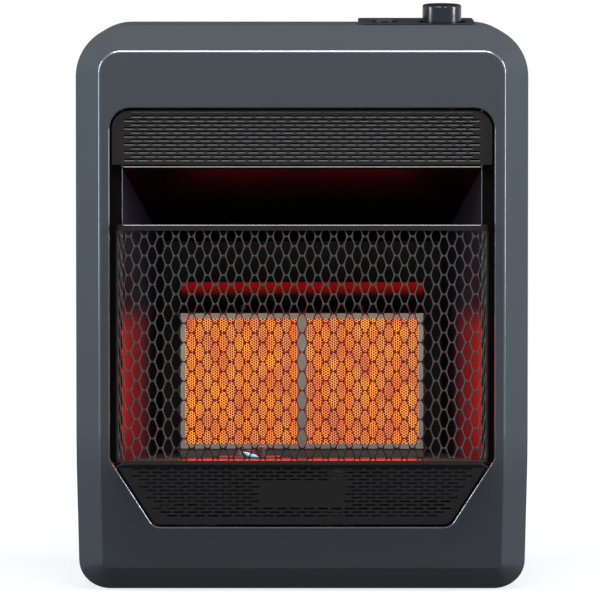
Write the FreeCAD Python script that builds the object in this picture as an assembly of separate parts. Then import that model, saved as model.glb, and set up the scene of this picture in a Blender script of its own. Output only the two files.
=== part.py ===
import FreeCAD, Part
import math
import os

# Infrared gas space heater, millimetres.
# +X is to the right as seen from the front, the front faces -Y, +Z is up.
# Origin: bottom centre of the whole box. "Depth" below is measured back from the flat front face.

Vec = FreeCAD.Vector

# Casing
CASE_WIDTH = 380.0
CASE_HEIGHT = 476.0
CASE_DEPTH = 177.0
SHELL_DEPTH = 105.0
SHELL_SHEET = 1.2
BEVEL = 21.0
RIM_TOP_RADIUS = 43.0
RIM_BOTTOM_RADIUS = 26.0
RIDGE_TOP_RADIUS = 17.5
RIDGE_BOTTOM_RADIUS = 5.0
TOP_SLOPE = math.radians(6)
LOWER_SLOPE = math.radians(18)
BEND_HEIGHT = 116.0
BEND_RADIUS = 120.0

# Opening in the front
FACE_BORDER = 8.5
OPENING_TOP_DROP = 68.0
OPENING_BOTTOM = 56.5
OPENING_SHOULDER = 115.0
OPENING_FOOT_RUN = 35.5
OPENING_CORNER_RADIUS = 17.0
OPENING_SHOULDER_RADIUS = 8.0
OPENING_FOOT_RADIUS = 11.0
OPENING_FLANGE = 6.0

# Rear box
CHASSIS_STEP = 18.0
CHASSIS_TOP_DROP = 21.0
CHASSIS_SHEET = 1.2
CHASSIS_FRONT_GAP = 5.0
CHASSIS_TOE_GAP = 6.0
CHASSIS_TOE_RISE = 27.0
CHASSIS_OVERLAP = 10.0
PAD_HEIGHT = 3.0
PAD_LENGTH = 36.0
PAD_DEPTH = 18.0
PAD_INSET = 22.0
LOUVRE_LENGTH = 52.0
LOUVRE_WIDTH = 4.0
LOUVRE_PITCH = 13.0
LOUVRE_COUNT = 7
LOUVRE_BOTTOM = 60.0
VENT_LENGTH = 44.0
VENT_WIDTH = 5.0
VENT_PITCH = 14.0
VENT_ROWS = 5
VENT_COLUMNS = 4
VENT_COLUMN_PITCH = 58.0
VENT_BOTTOM = 280.0
KEYHOLE_SPACING = 220.0
KEYHOLE_DROP = 25.0
KEYHOLE_HEAD_RADIUS = 5.5
KEYHOLE_SLOT_RADIUS = 2.6
KEYHOLE_RUN = 11.0
ANCHOR_SPACING = 300.0
ANCHOR_HEIGHT = 30.0
ANCHOR_RADIUS = 3.2

# Screws
SCREW_HEAD_RADIUS = 4.0
SCREW_HEAD_HEIGHT = 2.2
SCREW_SHANK_RADIUS = 1.7
SCREW_SHANK_LENGTH = 7.0
SCREW_EDGE = 9.0
SCREW_ROWS_SHARES = (0.22, 0.52, 0.82)

# Grilles
GRILLE_SHEET = 1.2
GRILLE_GAP = 2.0
GRILLE_SETBACK = 2.5
UPPER_GRILLE_HEIGHT = 45.0
SLOT_LENGTH = 9.0
SLOT_WIDTH = 1.5
SLOT_PITCH = 11.5
SLOT_ROW_PITCH = 3.3
SLOT_FIRST_ROW = 4.6
SLOT_EDGE = 6.0
LOWER_GRILLE_TOP = 110.2
LOWER_FIRST_ROW = 3.6
BADGE_HALF_WIDTH = 33.0
BADGE_TOP_ROW = 4
BADGE_BOTTOM_ROW = 10
SHELF_DEPTH = 22.0

# Firebox
FIREBOX_SHEET = 1.0
FIREBOX_DEPTH = 102.0
FIREBOX_BACK_WIDTH = 243.0
FACE_STRIP = 10.5
FACE_STRIP_RISE = 10.0
FLOOR_HEIGHT = 112.0
HOOD_DROP = 62.0
HOOD_BELOW_GRILLE = 2.5
HOOD_LIP_RADIUS = 1.2
HOOD_LIP_INSET = 3.0
SEAM = 0.3

# Guard
GUARD_PROUD = 18.0
OUTLET_HEIGHT = 47.5
GUARD_FRONT_INSET = 11.5
GUARD_REAR_INSET = 4.0
GUARD_RAIL_HEIGHT = 5.0
GUARD_RAIL_SHEET = 1.2
GUARD_ROD_RADIUS = 1.6
GUARD_ABOVE_FLOOR = 3.5
GUARD_FOOT_HEIGHT = 2.5
APRON_DROP = 4.5
APRON_BACK = 1.0
NET_SHEET = 1.2
NET_PITCH = 13.06
NET_RISE = 15.95
NET_KNUCKLE = 3.3
NET_STRAND = 1.1
NET_BORDER = 1.0
NET_LAP = 2.0

# Burner
BURNER_FRONT = 68.0
PLAQUE_WIDTH = 98.0
PLAQUE_HEIGHT = 110.0
PLAQUE_THICK = 13.0
GASKET_WALL = 2.0
PLAQUE_GAP = 2.0
BURNER_SHEET = 1.0
BURNER_DEPTH = 38.0
WINDOW_LIP = 1.2
RAIL_HEIGHT = 7.0
RAIL_SHEET = 1.0
VISOR_STAND = 10.0
VISOR_SPAN = 17.0
VISOR_LIP = 3.0
VISOR_DEPTH = 9.0
VISOR_SHEET = 1.0
VISOR_SCREW_RADIUS = 2.4
VISOR_SCREW_HEIGHT = 1.4
VISOR_SCREW_SPACING = 101.0

# Mixing tube, shutter and injector
VENTURI_X = 30.0
VENTURI_BEHIND = 20.0
VENTURI_WALL = 1.2
VENTURI_BELL_RADIUS = 14.0
VENTURI_THROAT_RADIUS = 9.0
VENTURI_TOP_RADIUS = 12.0
VENTURI_DROP = 59.0
VENTURI_BELL_HEIGHT = 12.0
VENTURI_THROAT_HEIGHT = 20.0
SHUTTER_GAP = 0.4
SHUTTER_WALL = 1.2
SHUTTER_HEIGHT = 20.0
SHUTTER_LAP = 6.0
SHUTTER_WINDOW = 8.0
INJECTOR_RADIUS = 7.0
INJECTOR_HEIGHT = 18.0
INJECTOR_BELOW = 6.0
INJECTOR_GAP = 0.3
INJECTOR_TIP_RADIUS = 2.5
INJECTOR_TIP_HEIGHT = 4.0
INJECTOR_ARM = 9.0
INJECTOR_ARM_RADIUS = 5.0

# Pilot group
PILOT_X = -44.0
PILOT_AHEAD = 9.0
PILOT_PITCH = 10.0
PILOT_SHEET = 1.2
PILOT_PLATE_WIDTH = 52.0
PILOT_PLATE_DEPTH = 20.0
PILOT_HOLE_MARGIN = 3.5
PILOT_GAP = 0.3
PILOT_BELOW = 14.0
PILOT_COLLAR = 1.5
PILOT_COLLAR_HEIGHT = 1.6
PILOT_RADIUS = 4.0
PILOT_RISE = 5.0
PILOT_PORT_RADIUS = 1.6
ELECTRODE_RADIUS = 2.6
ELECTRODE_RISE = 4.0
ELECTRODE_WIRE_RADIUS = 0.7
ELECTRODE_WIRE_RISE = 3.5
ELECTRODE_WIRE_REACH = 4.5
PROBE_RADIUS = 2.6
PROBE_RISE = 8.0

# Regulator and inlet
REGULATOR_X = -105.0
REGULATOR_BEHIND = 49.0
REGULATOR_HEIGHT = 47.0
REGULATOR_RADIUS = 26.0
REGULATOR_BODY = 24.0
REGULATOR_DOME_RADIUS = 18.0
REGULATOR_DOME = 8.0
REGULATOR_BOSS = 9.0
REGULATOR_BOSS_REACH = 30.0
REGULATOR_BRACKET_WIDTH = 36.0
REGULATOR_BRACKET_DEPTH = 30.0
REGULATOR_BRACKET_SHEET = 1.5
INLET_RADIUS = 11.0
INLET_BORE_RADIUS = 7.4
INLET_BORE_DEPTH = 15.0
INLET_RECESS = 1.0
INLET_HOLE_GAP = 4.0

# Console and knob, in the console's tilted frame with its origin on top at the knob's axis
CONSOLE_TILT = 9.0
CONSOLE_WIDTH = 98.0
CONSOLE_DEPTH = 60.0
CONSOLE_RIGHT_MARGIN = 44.0
CONSOLE_FRONT_GAP = 3.0
CONSOLE_LIP = 0.8
CONSOLE_CORNER = 5.0
CONSOLE_SEAT_GAP = 0.2
KNOB_FROM_RIGHT = 27.5
KNOB_FROM_FRONT = 24.0
KNOB_RADIUS = 16.6
KNOB_RISE = 14.5
KNOB_SKIRT = 3.0
KNOB_CHAMFER = 1.6
KNOB_FLUTES = 24
KNOB_FLUTE_RADIUS = 1.1
KNOB_FLUTE_DEPTH = 0.5
KNOB_TRAVEL = 4.0
KNOB_WELL_GAP = 3.9
WELL_ROOM = 1.5
WELL_WALL = 1.6
WELL_FLOOR = 2.0
WELL_HOLE_GAP = 1.0
STEM_RADIUS = 4.0
STEM_GAP = 0.4
STEM_IN_KNOB = 10.0
STEM_END = -34.0
PRESS_GAP = 0.1
IGNITER_PITCH = 48.5
BUTTON_RADIUS = 8.0
BUTTON_RISE = 2.5
BUTTON_SKIRT = 3.0
BUTTON_EDGE = 1.2
BUTTON_WELL_GAP = 3.5
PLUNGER_RADIUS = 3.0
PLUNGER_END = -20.0
PLUNGER_GAP = 0.4
IGNITER_RADIUS = 9.0
IGNITER_LENGTH = 46.0
IGNITER_BORE_END = -32.0
IGNITER_NUT_RADIUS = 13.0
IGNITER_NUT_HEIGHT = 3.5

# Valve and its bracket, in the same tilted frame
BRACKET_LEVEL = -16.0
BRACKET_SHEET = 1.5
BRACKET_FRONT = 20.0
BRACKET_BACK = 24.0
BRACKET_END = 16.0
BRACKET_TAB = 32.0
VALVE_HALF_WIDTH = 22.0
VALVE_HALF_DEPTH = 19.0
VALVE_TOP = -24.0
VALVE_BOTTOM = -62.0
VALVE_BOSS_RADIUS = 13.0
SPRING_CAVITY_RADIUS = 8.0
SPRING_FLOOR = -31.0
SEAT_RADIUS = 7.6
SEAT_SHEET = 1.6
SEAT_TOP = -16.8
STEM_BORE_END = -44.0
VALVE_SPRING_RADIUS = 5.9
VALVE_SPRING_WIRE = 0.6
VALVE_SPRING_TURNS = 4
IGNITER_SPRING_RADIUS = 2.4
IGNITER_SPRING_WIRE = 0.4
IGNITER_SPRING_TURNS = 5
SPRING_END_GAP = 0.2
FITTING_RADIUS = 7.0
FITTING_LENGTH = 10.0
VALVE_SCREW_RADIUS = 3.2
VALVE_SCREW_HEIGHT = 2.0
VALVE_SCREW_PLACE = 17.0

# Tubes and leads
SUPPLY_RADIUS = 5.0
MAIN_RADIUS = 4.0
PILOT_TUBE_RADIUS = 2.0
LEAD_RADIUS = 1.5
IGNITER_LEAD_RADIUS = 2.0
CAPILLARY_RADIUS = 1.0
TUBE_BEND = 10.0
THIN_BEND = 7.0
PORT_LEVEL = -48.0
PORT_SIDE = 10.0
SIDE_CHANNEL = 14.0
LOWER_RUN_HEIGHT = 64.0
CHANNEL_PITCH = 8.0
LEAD_REACH_SHARE = 1.5
BULB_RADIUS = 4.0
BULB_LENGTH = 70.0
BULB_BOTTOM = 60.0
BULB_FROM_SIDE = 7.0
BULB_BEHIND = 85.0
CLIP_HEIGHT = 8.0
CLIP_WALL = 2.0
CLIP_GAP = 0.2
CLIP_SHARES = (0.2, 0.75)

# One overrun for every cut
OVERRUN = 5.0

FRONT_Y = GUARD_PROUD - (GUARD_PROUD + CASE_DEPTH + SCREW_HEAD_HEIGHT) / 2
CASE_HALF = CASE_WIDTH / 2
RIDGE_HALF = CASE_HALF - BEVEL
OPENING_HALF = RIDGE_HALF - FACE_BORDER
OPENING_TOP = CASE_HEIGHT - OPENING_TOP_DROP
CHASSIS_HALF = CASE_HALF - CHASSIS_STEP
CHASSIS_INNER = CHASSIS_HALF - CHASSIS_SHEET
CHASSIS_TOP = CASE_HEIGHT - CHASSIS_TOP_DROP
CHASSIS_FRONT = CHASSIS_HALF - RIDGE_HALF + SHELL_SHEET * math.sqrt(2) + CHASSIS_FRONT_GAP
BACK_INNER = CASE_DEPTH - CHASSIS_SHEET
STRIP_FRONT = CHASSIS_FRONT - FIREBOX_SHEET
FIREBOX_HALF = OPENING_HALF - FACE_STRIP
FIREBOX_BACK_HALF = FIREBOX_BACK_WIDTH / 2
FIREBOX_BACK = CHASSIS_FRONT + FIREBOX_DEPTH
GRILLE_TOP = OPENING_TOP - GRILLE_GAP
GRILLE_BOTTOM = GRILLE_TOP - UPPER_GRILLE_HEIGHT
HOOD_FRONT_LEVEL = GRILLE_BOTTOM - HOOD_BELOW_GRILLE
HOOD_BACK_LEVEL = HOOD_FRONT_LEVEL - HOOD_DROP
GUARD_TOP = HOOD_FRONT_LEVEL - OUTLET_HEIGHT
GUARD_BOTTOM = FLOOR_HEIGHT + GUARD_ABOVE_FLOOR
GUARD_FRONT_HALF = OPENING_HALF - GUARD_FRONT_INSET
GUARD_REAR_HALF = OPENING_HALF - GUARD_REAR_INSET
BURNER_INNER_WIDTH = 2 * (PLAQUE_WIDTH + 2 * GASKET_WALL) + PLAQUE_GAP
BURNER_INNER_HEIGHT = PLAQUE_HEIGHT + 2 * GASKET_WALL
BURNER_HALF = BURNER_INNER_WIDTH / 2 + BURNER_SHEET
BURNER_BOTTOM = FLOOR_HEIGHT + RAIL_HEIGHT
BURNER_TOP = BURNER_BOTTOM + BURNER_INNER_HEIGHT + 2 * BURNER_SHEET
PLAQUE_FRONT = BURNER_FRONT + BURNER_SHEET
BURNER_BACK = PLAQUE_FRONT + BURNER_DEPTH
PLAQUE_X = (PLAQUE_WIDTH + 2 * GASKET_WALL + PLAQUE_GAP) / 2
PLAQUE_BOTTOM = BURNER_BOTTOM + BURNER_SHEET + GASKET_WALL
KNOB_X = CASE_HALF - CONSOLE_RIGHT_MARGIN - KNOB_FROM_RIGHT
KNOB_DEPTH = BEVEL + CONSOLE_FRONT_GAP + KNOB_FROM_FRONT
CONSOLE_LEVEL = (CASE_HEIGHT + (BEVEL + CONSOLE_FRONT_GAP) * math.tan(TOP_SLOPE) + CONSOLE_LIP
                 + KNOB_FROM_FRONT * math.tan(math.radians(CONSOLE_TILT)))
KNOB_WELL_RADIUS = KNOB_RADIUS + KNOB_WELL_GAP
WELL_DEPTH = KNOB_SKIRT + KNOB_TRAVEL + WELL_ROOM
BUTTON_WELL_RADIUS = BUTTON_RADIUS + BUTTON_WELL_GAP
VENTURI_DEPTH = BURNER_FRONT + VENTURI_BEHIND
VENTURI_BOTTOM = BURNER_BOTTOM - VENTURI_DROP
PILOT_DEPTH = BURNER_FRONT - PILOT_AHEAD
REGULATOR_DEPTH = CASE_DEPTH - REGULATOR_BEHIND
CONSOLE = FreeCAD.Placement(Vec(KNOB_X, FRONT_Y + KNOB_DEPTH, CONSOLE_LEVEL),
                            FreeCAD.Rotation(Vec(1, 0, 0), CONSOLE_TILT))


def at(x, depth, z):
    """A point from its place across, its depth behind the front face and its height."""
    return Vec(x, FRONT_Y + depth, z)


def block(x0, x1, depth0, depth1, z0, z1):
    """A box between two places across, two depths and two heights."""
    return Part.makeBox(x1 - x0, depth1 - depth0, z1 - z0, at(x0, depth0, z0))


def upright(x, depth, z0, z1, radius):
    """A vertical cylinder."""
    return Part.makeCylinder(radius, z1 - z0, at(x, depth, z0))


def lengthwise(x, depth0, depth1, z, radius):
    """A cylinder that runs from front to back."""
    return Part.makeCylinder(radius, depth1 - depth0, at(x, depth0, z), Vec(0, 1, 0))


def crosswise(x0, x1, depth, z, radius):
    """A cylinder that runs from left to right."""
    return Part.makeCylinder(radius, x1 - x0, at(x0, depth, z), Vec(1, 0, 0))


def plate(points, push):
    """A flat sheet: a polygon pushed along a vector."""
    return Part.Face(Part.makePolygon(points + points[:1])).extrude(push)


def rounded_edges(points, radii, closed=True):
    """Straight edges through the points, with an arc of the given radius at each corner."""
    count = len(points)
    starts = list(points)
    ends = list(points)
    arcs = [None] * count
    for index, (corner, radius) in enumerate(zip(points, radii)):
        if radius <= 0:
            continue
        to_last = (points[index - 1] - corner).normalize()
        to_next = (points[(index + 1) % count] - corner).normalize()
        half_angle = to_last.getAngle(to_next) / 2
        reach = radius / math.tan(half_angle)
        starts[index] = corner + to_last * reach
        ends[index] = corner + to_next * reach
        inward = (to_last + to_next).normalize()
        middle = corner + inward * (radius / math.sin(half_angle) - radius)
        arcs[index] = Part.Arc(starts[index], middle, ends[index]).toShape()
    edges = []
    for index in range(count):
        if arcs[index]:
            edges.append(arcs[index])
        if index + 1 < count or closed:
            edges.append(Part.LineSegment(ends[index], starts[(index + 1) % count]).toShape())
    return edges


def holed_sheet(outline, holes, push):
    """A flat sheet with many holes: the holes' outlines run the other way round."""
    return Part.Face([outline] + [hole.reversed() for hole in holes]).extrude(push)


def rounded_face(points, radii):
    """A flat face with rounded corners."""
    return Part.Face(Part.Wire(rounded_edges(points, radii)))


def tube(points, radius, bend):
    """A round tube along straight runs with tangent bends."""
    radii = [0] + [bend] * (len(points) - 2) + [0]
    path = Part.Wire(rounded_edges(points, radii, closed=False))
    ring = Part.Wire(Part.makeCircle(radius, points[0], points[1] - points[0]))
    return path.makePipeShell([ring], True, False)


def in_console(shape):
    """Moves a shape from the console's frame to its place."""
    shape.Placement = CONSOLE.multiply(shape.Placement)
    return shape


def spindle(x, low, high, radius):
    """A cylinder along the console's own upward axis, in the console's frame."""
    return Part.makeCylinder(radius, high - low, Vec(x, 0, low))


def coil(x, low, high, radius, wire, turns):
    """A spring along the console's axis, as half-turn arcs that climb, in the console's frame."""
    halves = 2 * turns
    climb = (high - low - 2 * wire) / halves
    edges = []
    for half in range(halves):
        side = 1 - 2 * (half % 2)
        base = low + wire + half * climb
        start = Vec(x + side * radius, 0, base)
        middle = Vec(x, side * radius, base + climb / 2)
        end = Vec(x - side * radius, 0, base + climb)
        edges.append(Part.Arc(start, middle, end).toShape())
    path = Part.Wire(edges)
    first = edges[0]
    ring = Part.Wire(Part.makeCircle(wire, first.valueAt(first.FirstParameter),
                                     first.tangentAt(first.FirstParameter)))
    return path.makePipeShell([ring], True, False)


def front_loop(half, top, bottom_run, top_radius, bottom_radius, depth, bend_level, bend_radius):
    """Twelve edges of an outline that lies on the bent front, or on a copy of it further back."""
    tangent = bend_radius * math.tan(LOWER_SLOPE / 2)
    turn = LOWER_SLOPE / 2

    def on_slope(x, run):
        return at(x, depth + run * math.sin(LOWER_SLOPE), bend_level - run * math.cos(LOWER_SLOPE))

    def on_bend(x):
        back = bend_radius * (1 - math.cos(turn))
        return at(x, depth + back, bend_level + tangent - bend_radius * math.sin(turn))

    def side_edges(sign):
        x = sign * half
        diagonal = math.sqrt(0.5)
        corner_top = Part.Arc(at(x - sign * top_radius, depth, top),
                              at(x - sign * top_radius * (1 - diagonal), depth,
                                 top - top_radius * (1 - diagonal)),
                              at(x, depth, top - top_radius))
        corner_bottom = Part.Arc(on_slope(x, bottom_run - bottom_radius),
                                 on_slope(x - sign * bottom_radius * (1 - diagonal),
                                          bottom_run - bottom_radius * (1 - diagonal)),
                                 on_slope(x - sign * bottom_radius, bottom_run))
        straight = Part.LineSegment(at(x, depth, top - top_radius), at(x, depth, bend_level + tangent))
        bend = Part.Arc(at(x, depth, bend_level + tangent), on_bend(x), on_slope(x, tangent))
        slope = Part.LineSegment(on_slope(x, tangent), on_slope(x, bottom_run - bottom_radius))
        return [edge.toShape() for edge in (corner_top, straight, bend, slope, corner_bottom)]

    top_edge = Part.LineSegment(at(top_radius - half, depth, top), at(half - top_radius, depth, top))
    bottom_edge = Part.LineSegment(on_slope(bottom_radius - half, bottom_run),
                                   on_slope(half - bottom_radius, bottom_run))
    return {"top": top_edge.toShape(), "bottom": bottom_edge.toShape(),
            "left": side_edges(-1), "right": side_edges(1)}


def ends_of(edge):
    """First and last point of an edge."""
    return edge.valueAt(edge.FirstParameter), edge.valueAt(edge.LastParameter)


def joined(first, second):
    """A straight edge between two points."""
    return Part.LineSegment(first, second).toShape()


def flat_between(near, far):
    """A flat four-sided face between two parallel straight edges."""
    near_start, near_end = ends_of(near)
    far_start, far_end = ends_of(far)
    return Part.Face(Part.makePolygon([near_start, near_end, far_end, far_start, near_start]))


def rear_loop(half, top, bottom, top_radius, bottom_radius, depth):
    """The outline at the rear end of the shell, cut into the pieces that meet the front outline."""
    diagonal = math.sqrt(0.5)

    def side_edges(sign):
        x = sign * half
        corner_top = Part.Arc(at(x - sign * top_radius, depth, top),
                              at(x - sign * top_radius * (1 - diagonal), depth,
                                 top - top_radius * (1 - diagonal)),
                              at(x, depth, top - top_radius))
        straight = Part.LineSegment(at(x, depth, top - top_radius), at(x, depth, bottom + bottom_radius))
        corner_bottom = Part.Arc(at(x, depth, bottom + bottom_radius),
                                 at(x - sign * bottom_radius * (1 - diagonal), depth,
                                    bottom + bottom_radius * (1 - diagonal)),
                                 at(x - sign * bottom_radius, depth, bottom))
        return [edge.toShape() for edge in (corner_top, straight, corner_bottom)]

    top_edge = Part.LineSegment(at(top_radius - half, depth, top), at(half - top_radius, depth, top))
    bottom_edge = Part.LineSegment(at(bottom_radius - half, depth, bottom),
                                   at(half - bottom_radius, depth, bottom))
    return {"top": top_edge.toShape(), "bottom": bottom_edge.toShape(),
            "left": side_edges(-1), "right": side_edges(1)}


def case_body(inset, rear):
    """Solid outer form of the shell with every wall moved in by inset, up to the given depth."""
    bend_level = BEND_HEIGHT + inset * math.tan(LOWER_SLOPE / 2)
    bend_radius = BEND_RADIUS - inset
    bevel = BEVEL - inset * (2 - math.sqrt(2))
    half = CASE_HALF - inset
    top = CASE_HEIGHT + inset * math.tan(TOP_SLOPE) - inset / math.cos(TOP_SLOPE)
    run = (bend_level - inset) / math.cos(LOWER_SLOPE)
    ridge_trim = inset * math.tan(math.pi / 8)
    ridge = front_loop(half - bevel, top - bevel, run - bevel, RIDGE_TOP_RADIUS - ridge_trim,
                       RIDGE_BOTTOM_RADIUS - ridge_trim, inset, bend_level, bend_radius)
    rim = front_loop(half, top + bevel * math.tan(TOP_SLOPE), run, RIM_TOP_RADIUS - inset,
                     RIM_BOTTOM_RADIUS - inset, inset + bevel, bend_level, bend_radius)
    back = rear_loop(half, top + (rear - inset) * math.tan(TOP_SLOPE), inset, RIM_TOP_RADIUS - inset,
                     RIM_BOTTOM_RADIUS - inset, rear)
    faces = []
    for place in ("top", "bottom"):
        faces.append(flat_between(ridge[place], rim[place]))
        faces.append(flat_between(rim[place], back[place]))
    for place in ("left", "right"):
        for near, far in zip(ridge[place], rim[place]):
            straight_pair = near.Curve.TypeId == "Part::GeomLine"
            faces.append(flat_between(near, far) if straight_pair else Part.makeRuledSurface(near, far))
        corner_top, straight, bend, slope, corner_bottom = rim[place]
        faces.append(Part.makeRuledSurface(corner_top, back[place][0]))
        faces.append(Part.makeRuledSurface(corner_bottom, back[place][2]))
        rear_top, rear_bottom = ends_of(back[place][1])
        upper = joined(ends_of(straight)[0], rear_top)
        lower = joined(ends_of(slope)[1], rear_bottom)
        faces.append(Part.Face(Part.Wire([straight, bend, slope, lower, back[place][1], upper])))
    left, right = ridge["left"], ridge["right"]
    crease_top = joined(ends_of(left[1])[1], ends_of(right[1])[1])
    crease_bottom = joined(ends_of(left[3])[0], ends_of(right[3])[0])
    faces.append(Part.Face(Part.Wire([ridge["top"], right[0], right[1], crease_top, left[1], left[0]])))
    faces.append(Part.makeRuledSurface(left[2], right[2]))
    faces.append(Part.Face(Part.Wire([crease_bottom, right[3], right[4], ridge["bottom"], left[4], left[3]])))
    outline = Part.__sortEdges__([back["top"], back["bottom"]] + back["left"] + back["right"])
    faces.append(Part.Face(Part.Wire(outline)))
    shell = Part.Shell(faces)
    shell.sewShape()
    solid = Part.Solid(shell)
    if solid.Volume < 0:
        solid.reverse()
    return solid


def opening_points(grow):
    """Corners of the front opening, moved out by grow, from the top left clockwise, and their radii."""
    lean = math.atan2(OPENING_FOOT_RUN, OPENING_SHOULDER - OPENING_BOTTOM)
    half = OPENING_HALF + grow
    shoulder = OPENING_SHOULDER - grow * math.tan((math.pi / 2 - lean) / 2) * math.tan(lean)
    foot = OPENING_BOTTOM - grow
    run = (shoulder - foot) * math.tan(lean)
    points = [at(-half, 0, OPENING_TOP + grow), at(half, 0, OPENING_TOP + grow), at(half, 0, shoulder),
              at(half - run, 0, foot), at(run - half, 0, foot), at(-half, 0, shoulder)]
    top = OPENING_CORNER_RADIUS + grow
    waist = OPENING_SHOULDER_RADIUS + grow
    base = OPENING_FOOT_RADIUS + grow
    return points, [top, top, waist, base, base, waist]


def opening_prism(grow):
    """The opening's outline carried right through the front of the casing."""
    face = rounded_face(*opening_points(grow))
    face.translate(Vec(0, -OVERRUN, 0))
    return face.extrude(Vec(0, SHELL_DEPTH, 0))


def front_casing():
    """Pressed front with a bevel, an opening with a return flange, and a rear flange round the chassis."""
    outer = case_body(0, SHELL_DEPTH)
    shell = outer.cut(case_body(SHELL_SHEET, SHELL_DEPTH - SHELL_SHEET))
    chassis_space = block(-CHASSIS_HALF - SEAM, CHASSIS_HALF + SEAM, SHELL_DEPTH - SHELL_SHEET - OVERRUN,
                          SHELL_DEPTH + OVERRUN, SHELL_SHEET, CHASSIS_TOP + SEAM)
    shell = shell.cut(chassis_space)
    layer = outer.cut(case_body(OPENING_FLANGE, SHELL_DEPTH + OVERRUN))
    flange = opening_prism(SHELL_SHEET).common(layer)
    shell = shell.fuse(flange).cut(opening_prism(0))
    wells = [(0, KNOB_WELL_RADIUS), (-IGNITER_PITCH, BUTTON_WELL_RADIUS)]
    for x, radius in wells:
        hole = spindle(x, -WELL_DEPTH - WELL_FLOOR - OVERRUN, OVERRUN, radius + WELL_WALL + WELL_HOLE_GAP)
        shell = shell.cut(in_console(hole))
    for x, z in casing_screw_places():
        hole = lengthwise(x, SHELL_DEPTH - OVERRUN, SHELL_DEPTH + OVERRUN, z, SCREW_SHANK_RADIUS + SEAM)
        shell = shell.cut(hole)
    return shell.removeSplitter()


def casing_screw_places():
    """Screws in the rear flange of the casing, both sides."""
    x = (CASE_HALF + CHASSIS_HALF) / 2
    return [(sign * x, share * CASE_HEIGHT) for sign in (-1, 1) for share in SCREW_ROWS_SHARES]


def back_screw_places():
    """Screws near both edges of the back panel."""
    x = CHASSIS_HALF - SCREW_EDGE
    return [(sign * x, share * CHASSIS_TOP) for sign in (-1, 1) for share in SCREW_ROWS_SHARES]


def pan_screw(x, depth, z):
    """A pan-head screw seen from behind: its head rests on a face at the given depth."""
    head = lengthwise(x, depth, depth + SCREW_HEAD_HEIGHT, z, SCREW_HEAD_RADIUS)
    rim = [edge for edge in head.Edges if edge.BoundBox.YMin > FRONT_Y + depth + SCREW_HEAD_HEIGHT / 2]
    head = head.makeChamfer(SCREW_HEAD_HEIGHT / 3, rim[:1])
    shank = lengthwise(x, depth - SCREW_SHANK_LENGTH, depth, z, SCREW_SHANK_RADIUS)
    cross_long = SCREW_HEAD_RADIUS / 2
    cross_wide = SCREW_HEAD_RADIUS / 8
    cut_depth = depth + SCREW_HEAD_HEIGHT / 2
    cut_end = depth + SCREW_HEAD_HEIGHT + OVERRUN
    cross = block(x - cross_long, x + cross_long, cut_depth, cut_end, z - cross_wide, z + cross_wide)
    bar = block(x - cross_wide, x + cross_wide, cut_depth, cut_end, z - cross_long, z + cross_long)
    return head.fuse(shank).cut([cross, bar])


def chassis_side(sign):
    """Side sheet of the rear box, with a raked toe behind the sloped front and a stack of louvres."""
    slope = math.tan(LOWER_SLOPE)
    toe = BEND_HEIGHT * slope + BEVEL + CHASSIS_TOE_GAP
    knee_level = PAD_HEIGHT + CHASSIS_TOE_RISE
    knee = CHASSIS_FRONT + (BEND_HEIGHT - knee_level) * slope + CHASSIS_TOE_GAP / 2
    outline = [(CHASSIS_FRONT, CHASSIS_TOP - BEVEL), (CHASSIS_FRONT + BEVEL, CHASSIS_TOP),
               (BACK_INNER, CHASSIS_TOP), (BACK_INNER, PAD_HEIGHT),
               (toe, PAD_HEIGHT), (knee, knee_level), (CHASSIS_FRONT, BEND_HEIGHT)]
    x = CHASSIS_INNER if sign > 0 else -CHASSIS_HALF
    sheet = plate([at(x, depth, z) for depth, z in outline], Vec(CHASSIS_SHEET, 0, 0))
    middle = (SHELL_DEPTH + BACK_INNER) / 2
    cuts = []
    for row in range(LOUVRE_COUNT):
        z = LOUVRE_BOTTOM + row * LOUVRE_PITCH
        cuts.append(block(x - OVERRUN, x + CHASSIS_SHEET + OVERRUN, middle - LOUVRE_LENGTH / 2,
                          middle + LOUVRE_LENGTH / 2, z, z + LOUVRE_WIDTH))
    return sheet.cut(cuts)


def back_panel():
    """Rear sheet with keyholes, anchor holes, vents, the inlet hole and screw holes."""
    sheet = block(-CHASSIS_HALF, CHASSIS_HALF, BACK_INNER, CASE_DEPTH, PAD_HEIGHT, CHASSIS_TOP)
    start = BACK_INNER - OVERRUN
    end = CASE_DEPTH + OVERRUN
    cuts = [lengthwise(REGULATOR_X, start, end, REGULATOR_HEIGHT, INLET_RADIUS + INLET_HOLE_GAP)]
    level = CHASSIS_TOP - KEYHOLE_DROP
    for sign in (-1, 1):
        x = sign * KEYHOLE_SPACING / 2
        cuts.append(lengthwise(x, start, end, level, KEYHOLE_HEAD_RADIUS))
        cuts.append(lengthwise(x, start, end, level + KEYHOLE_RUN, KEYHOLE_SLOT_RADIUS))
        cuts.append(block(x - KEYHOLE_SLOT_RADIUS, x + KEYHOLE_SLOT_RADIUS, start, end, level,
                          level + KEYHOLE_RUN))
        cuts.append(lengthwise(sign * ANCHOR_SPACING / 2, start, end, ANCHOR_HEIGHT, ANCHOR_RADIUS))
    for row in range(VENT_ROWS):
        z = VENT_BOTTOM + row * VENT_PITCH
        for column in range(VENT_COLUMNS):
            x = (column - (VENT_COLUMNS - 1) / 2) * VENT_COLUMN_PITCH
            cuts.append(block(x - VENT_LENGTH / 2, x + VENT_LENGTH / 2, start, end, z, z + VENT_WIDTH))
    for x, z in back_screw_places():
        cuts.append(lengthwise(x, start, end, z, SCREW_SHANK_RADIUS + SEAM))
    return sheet.cut(cuts)


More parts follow.
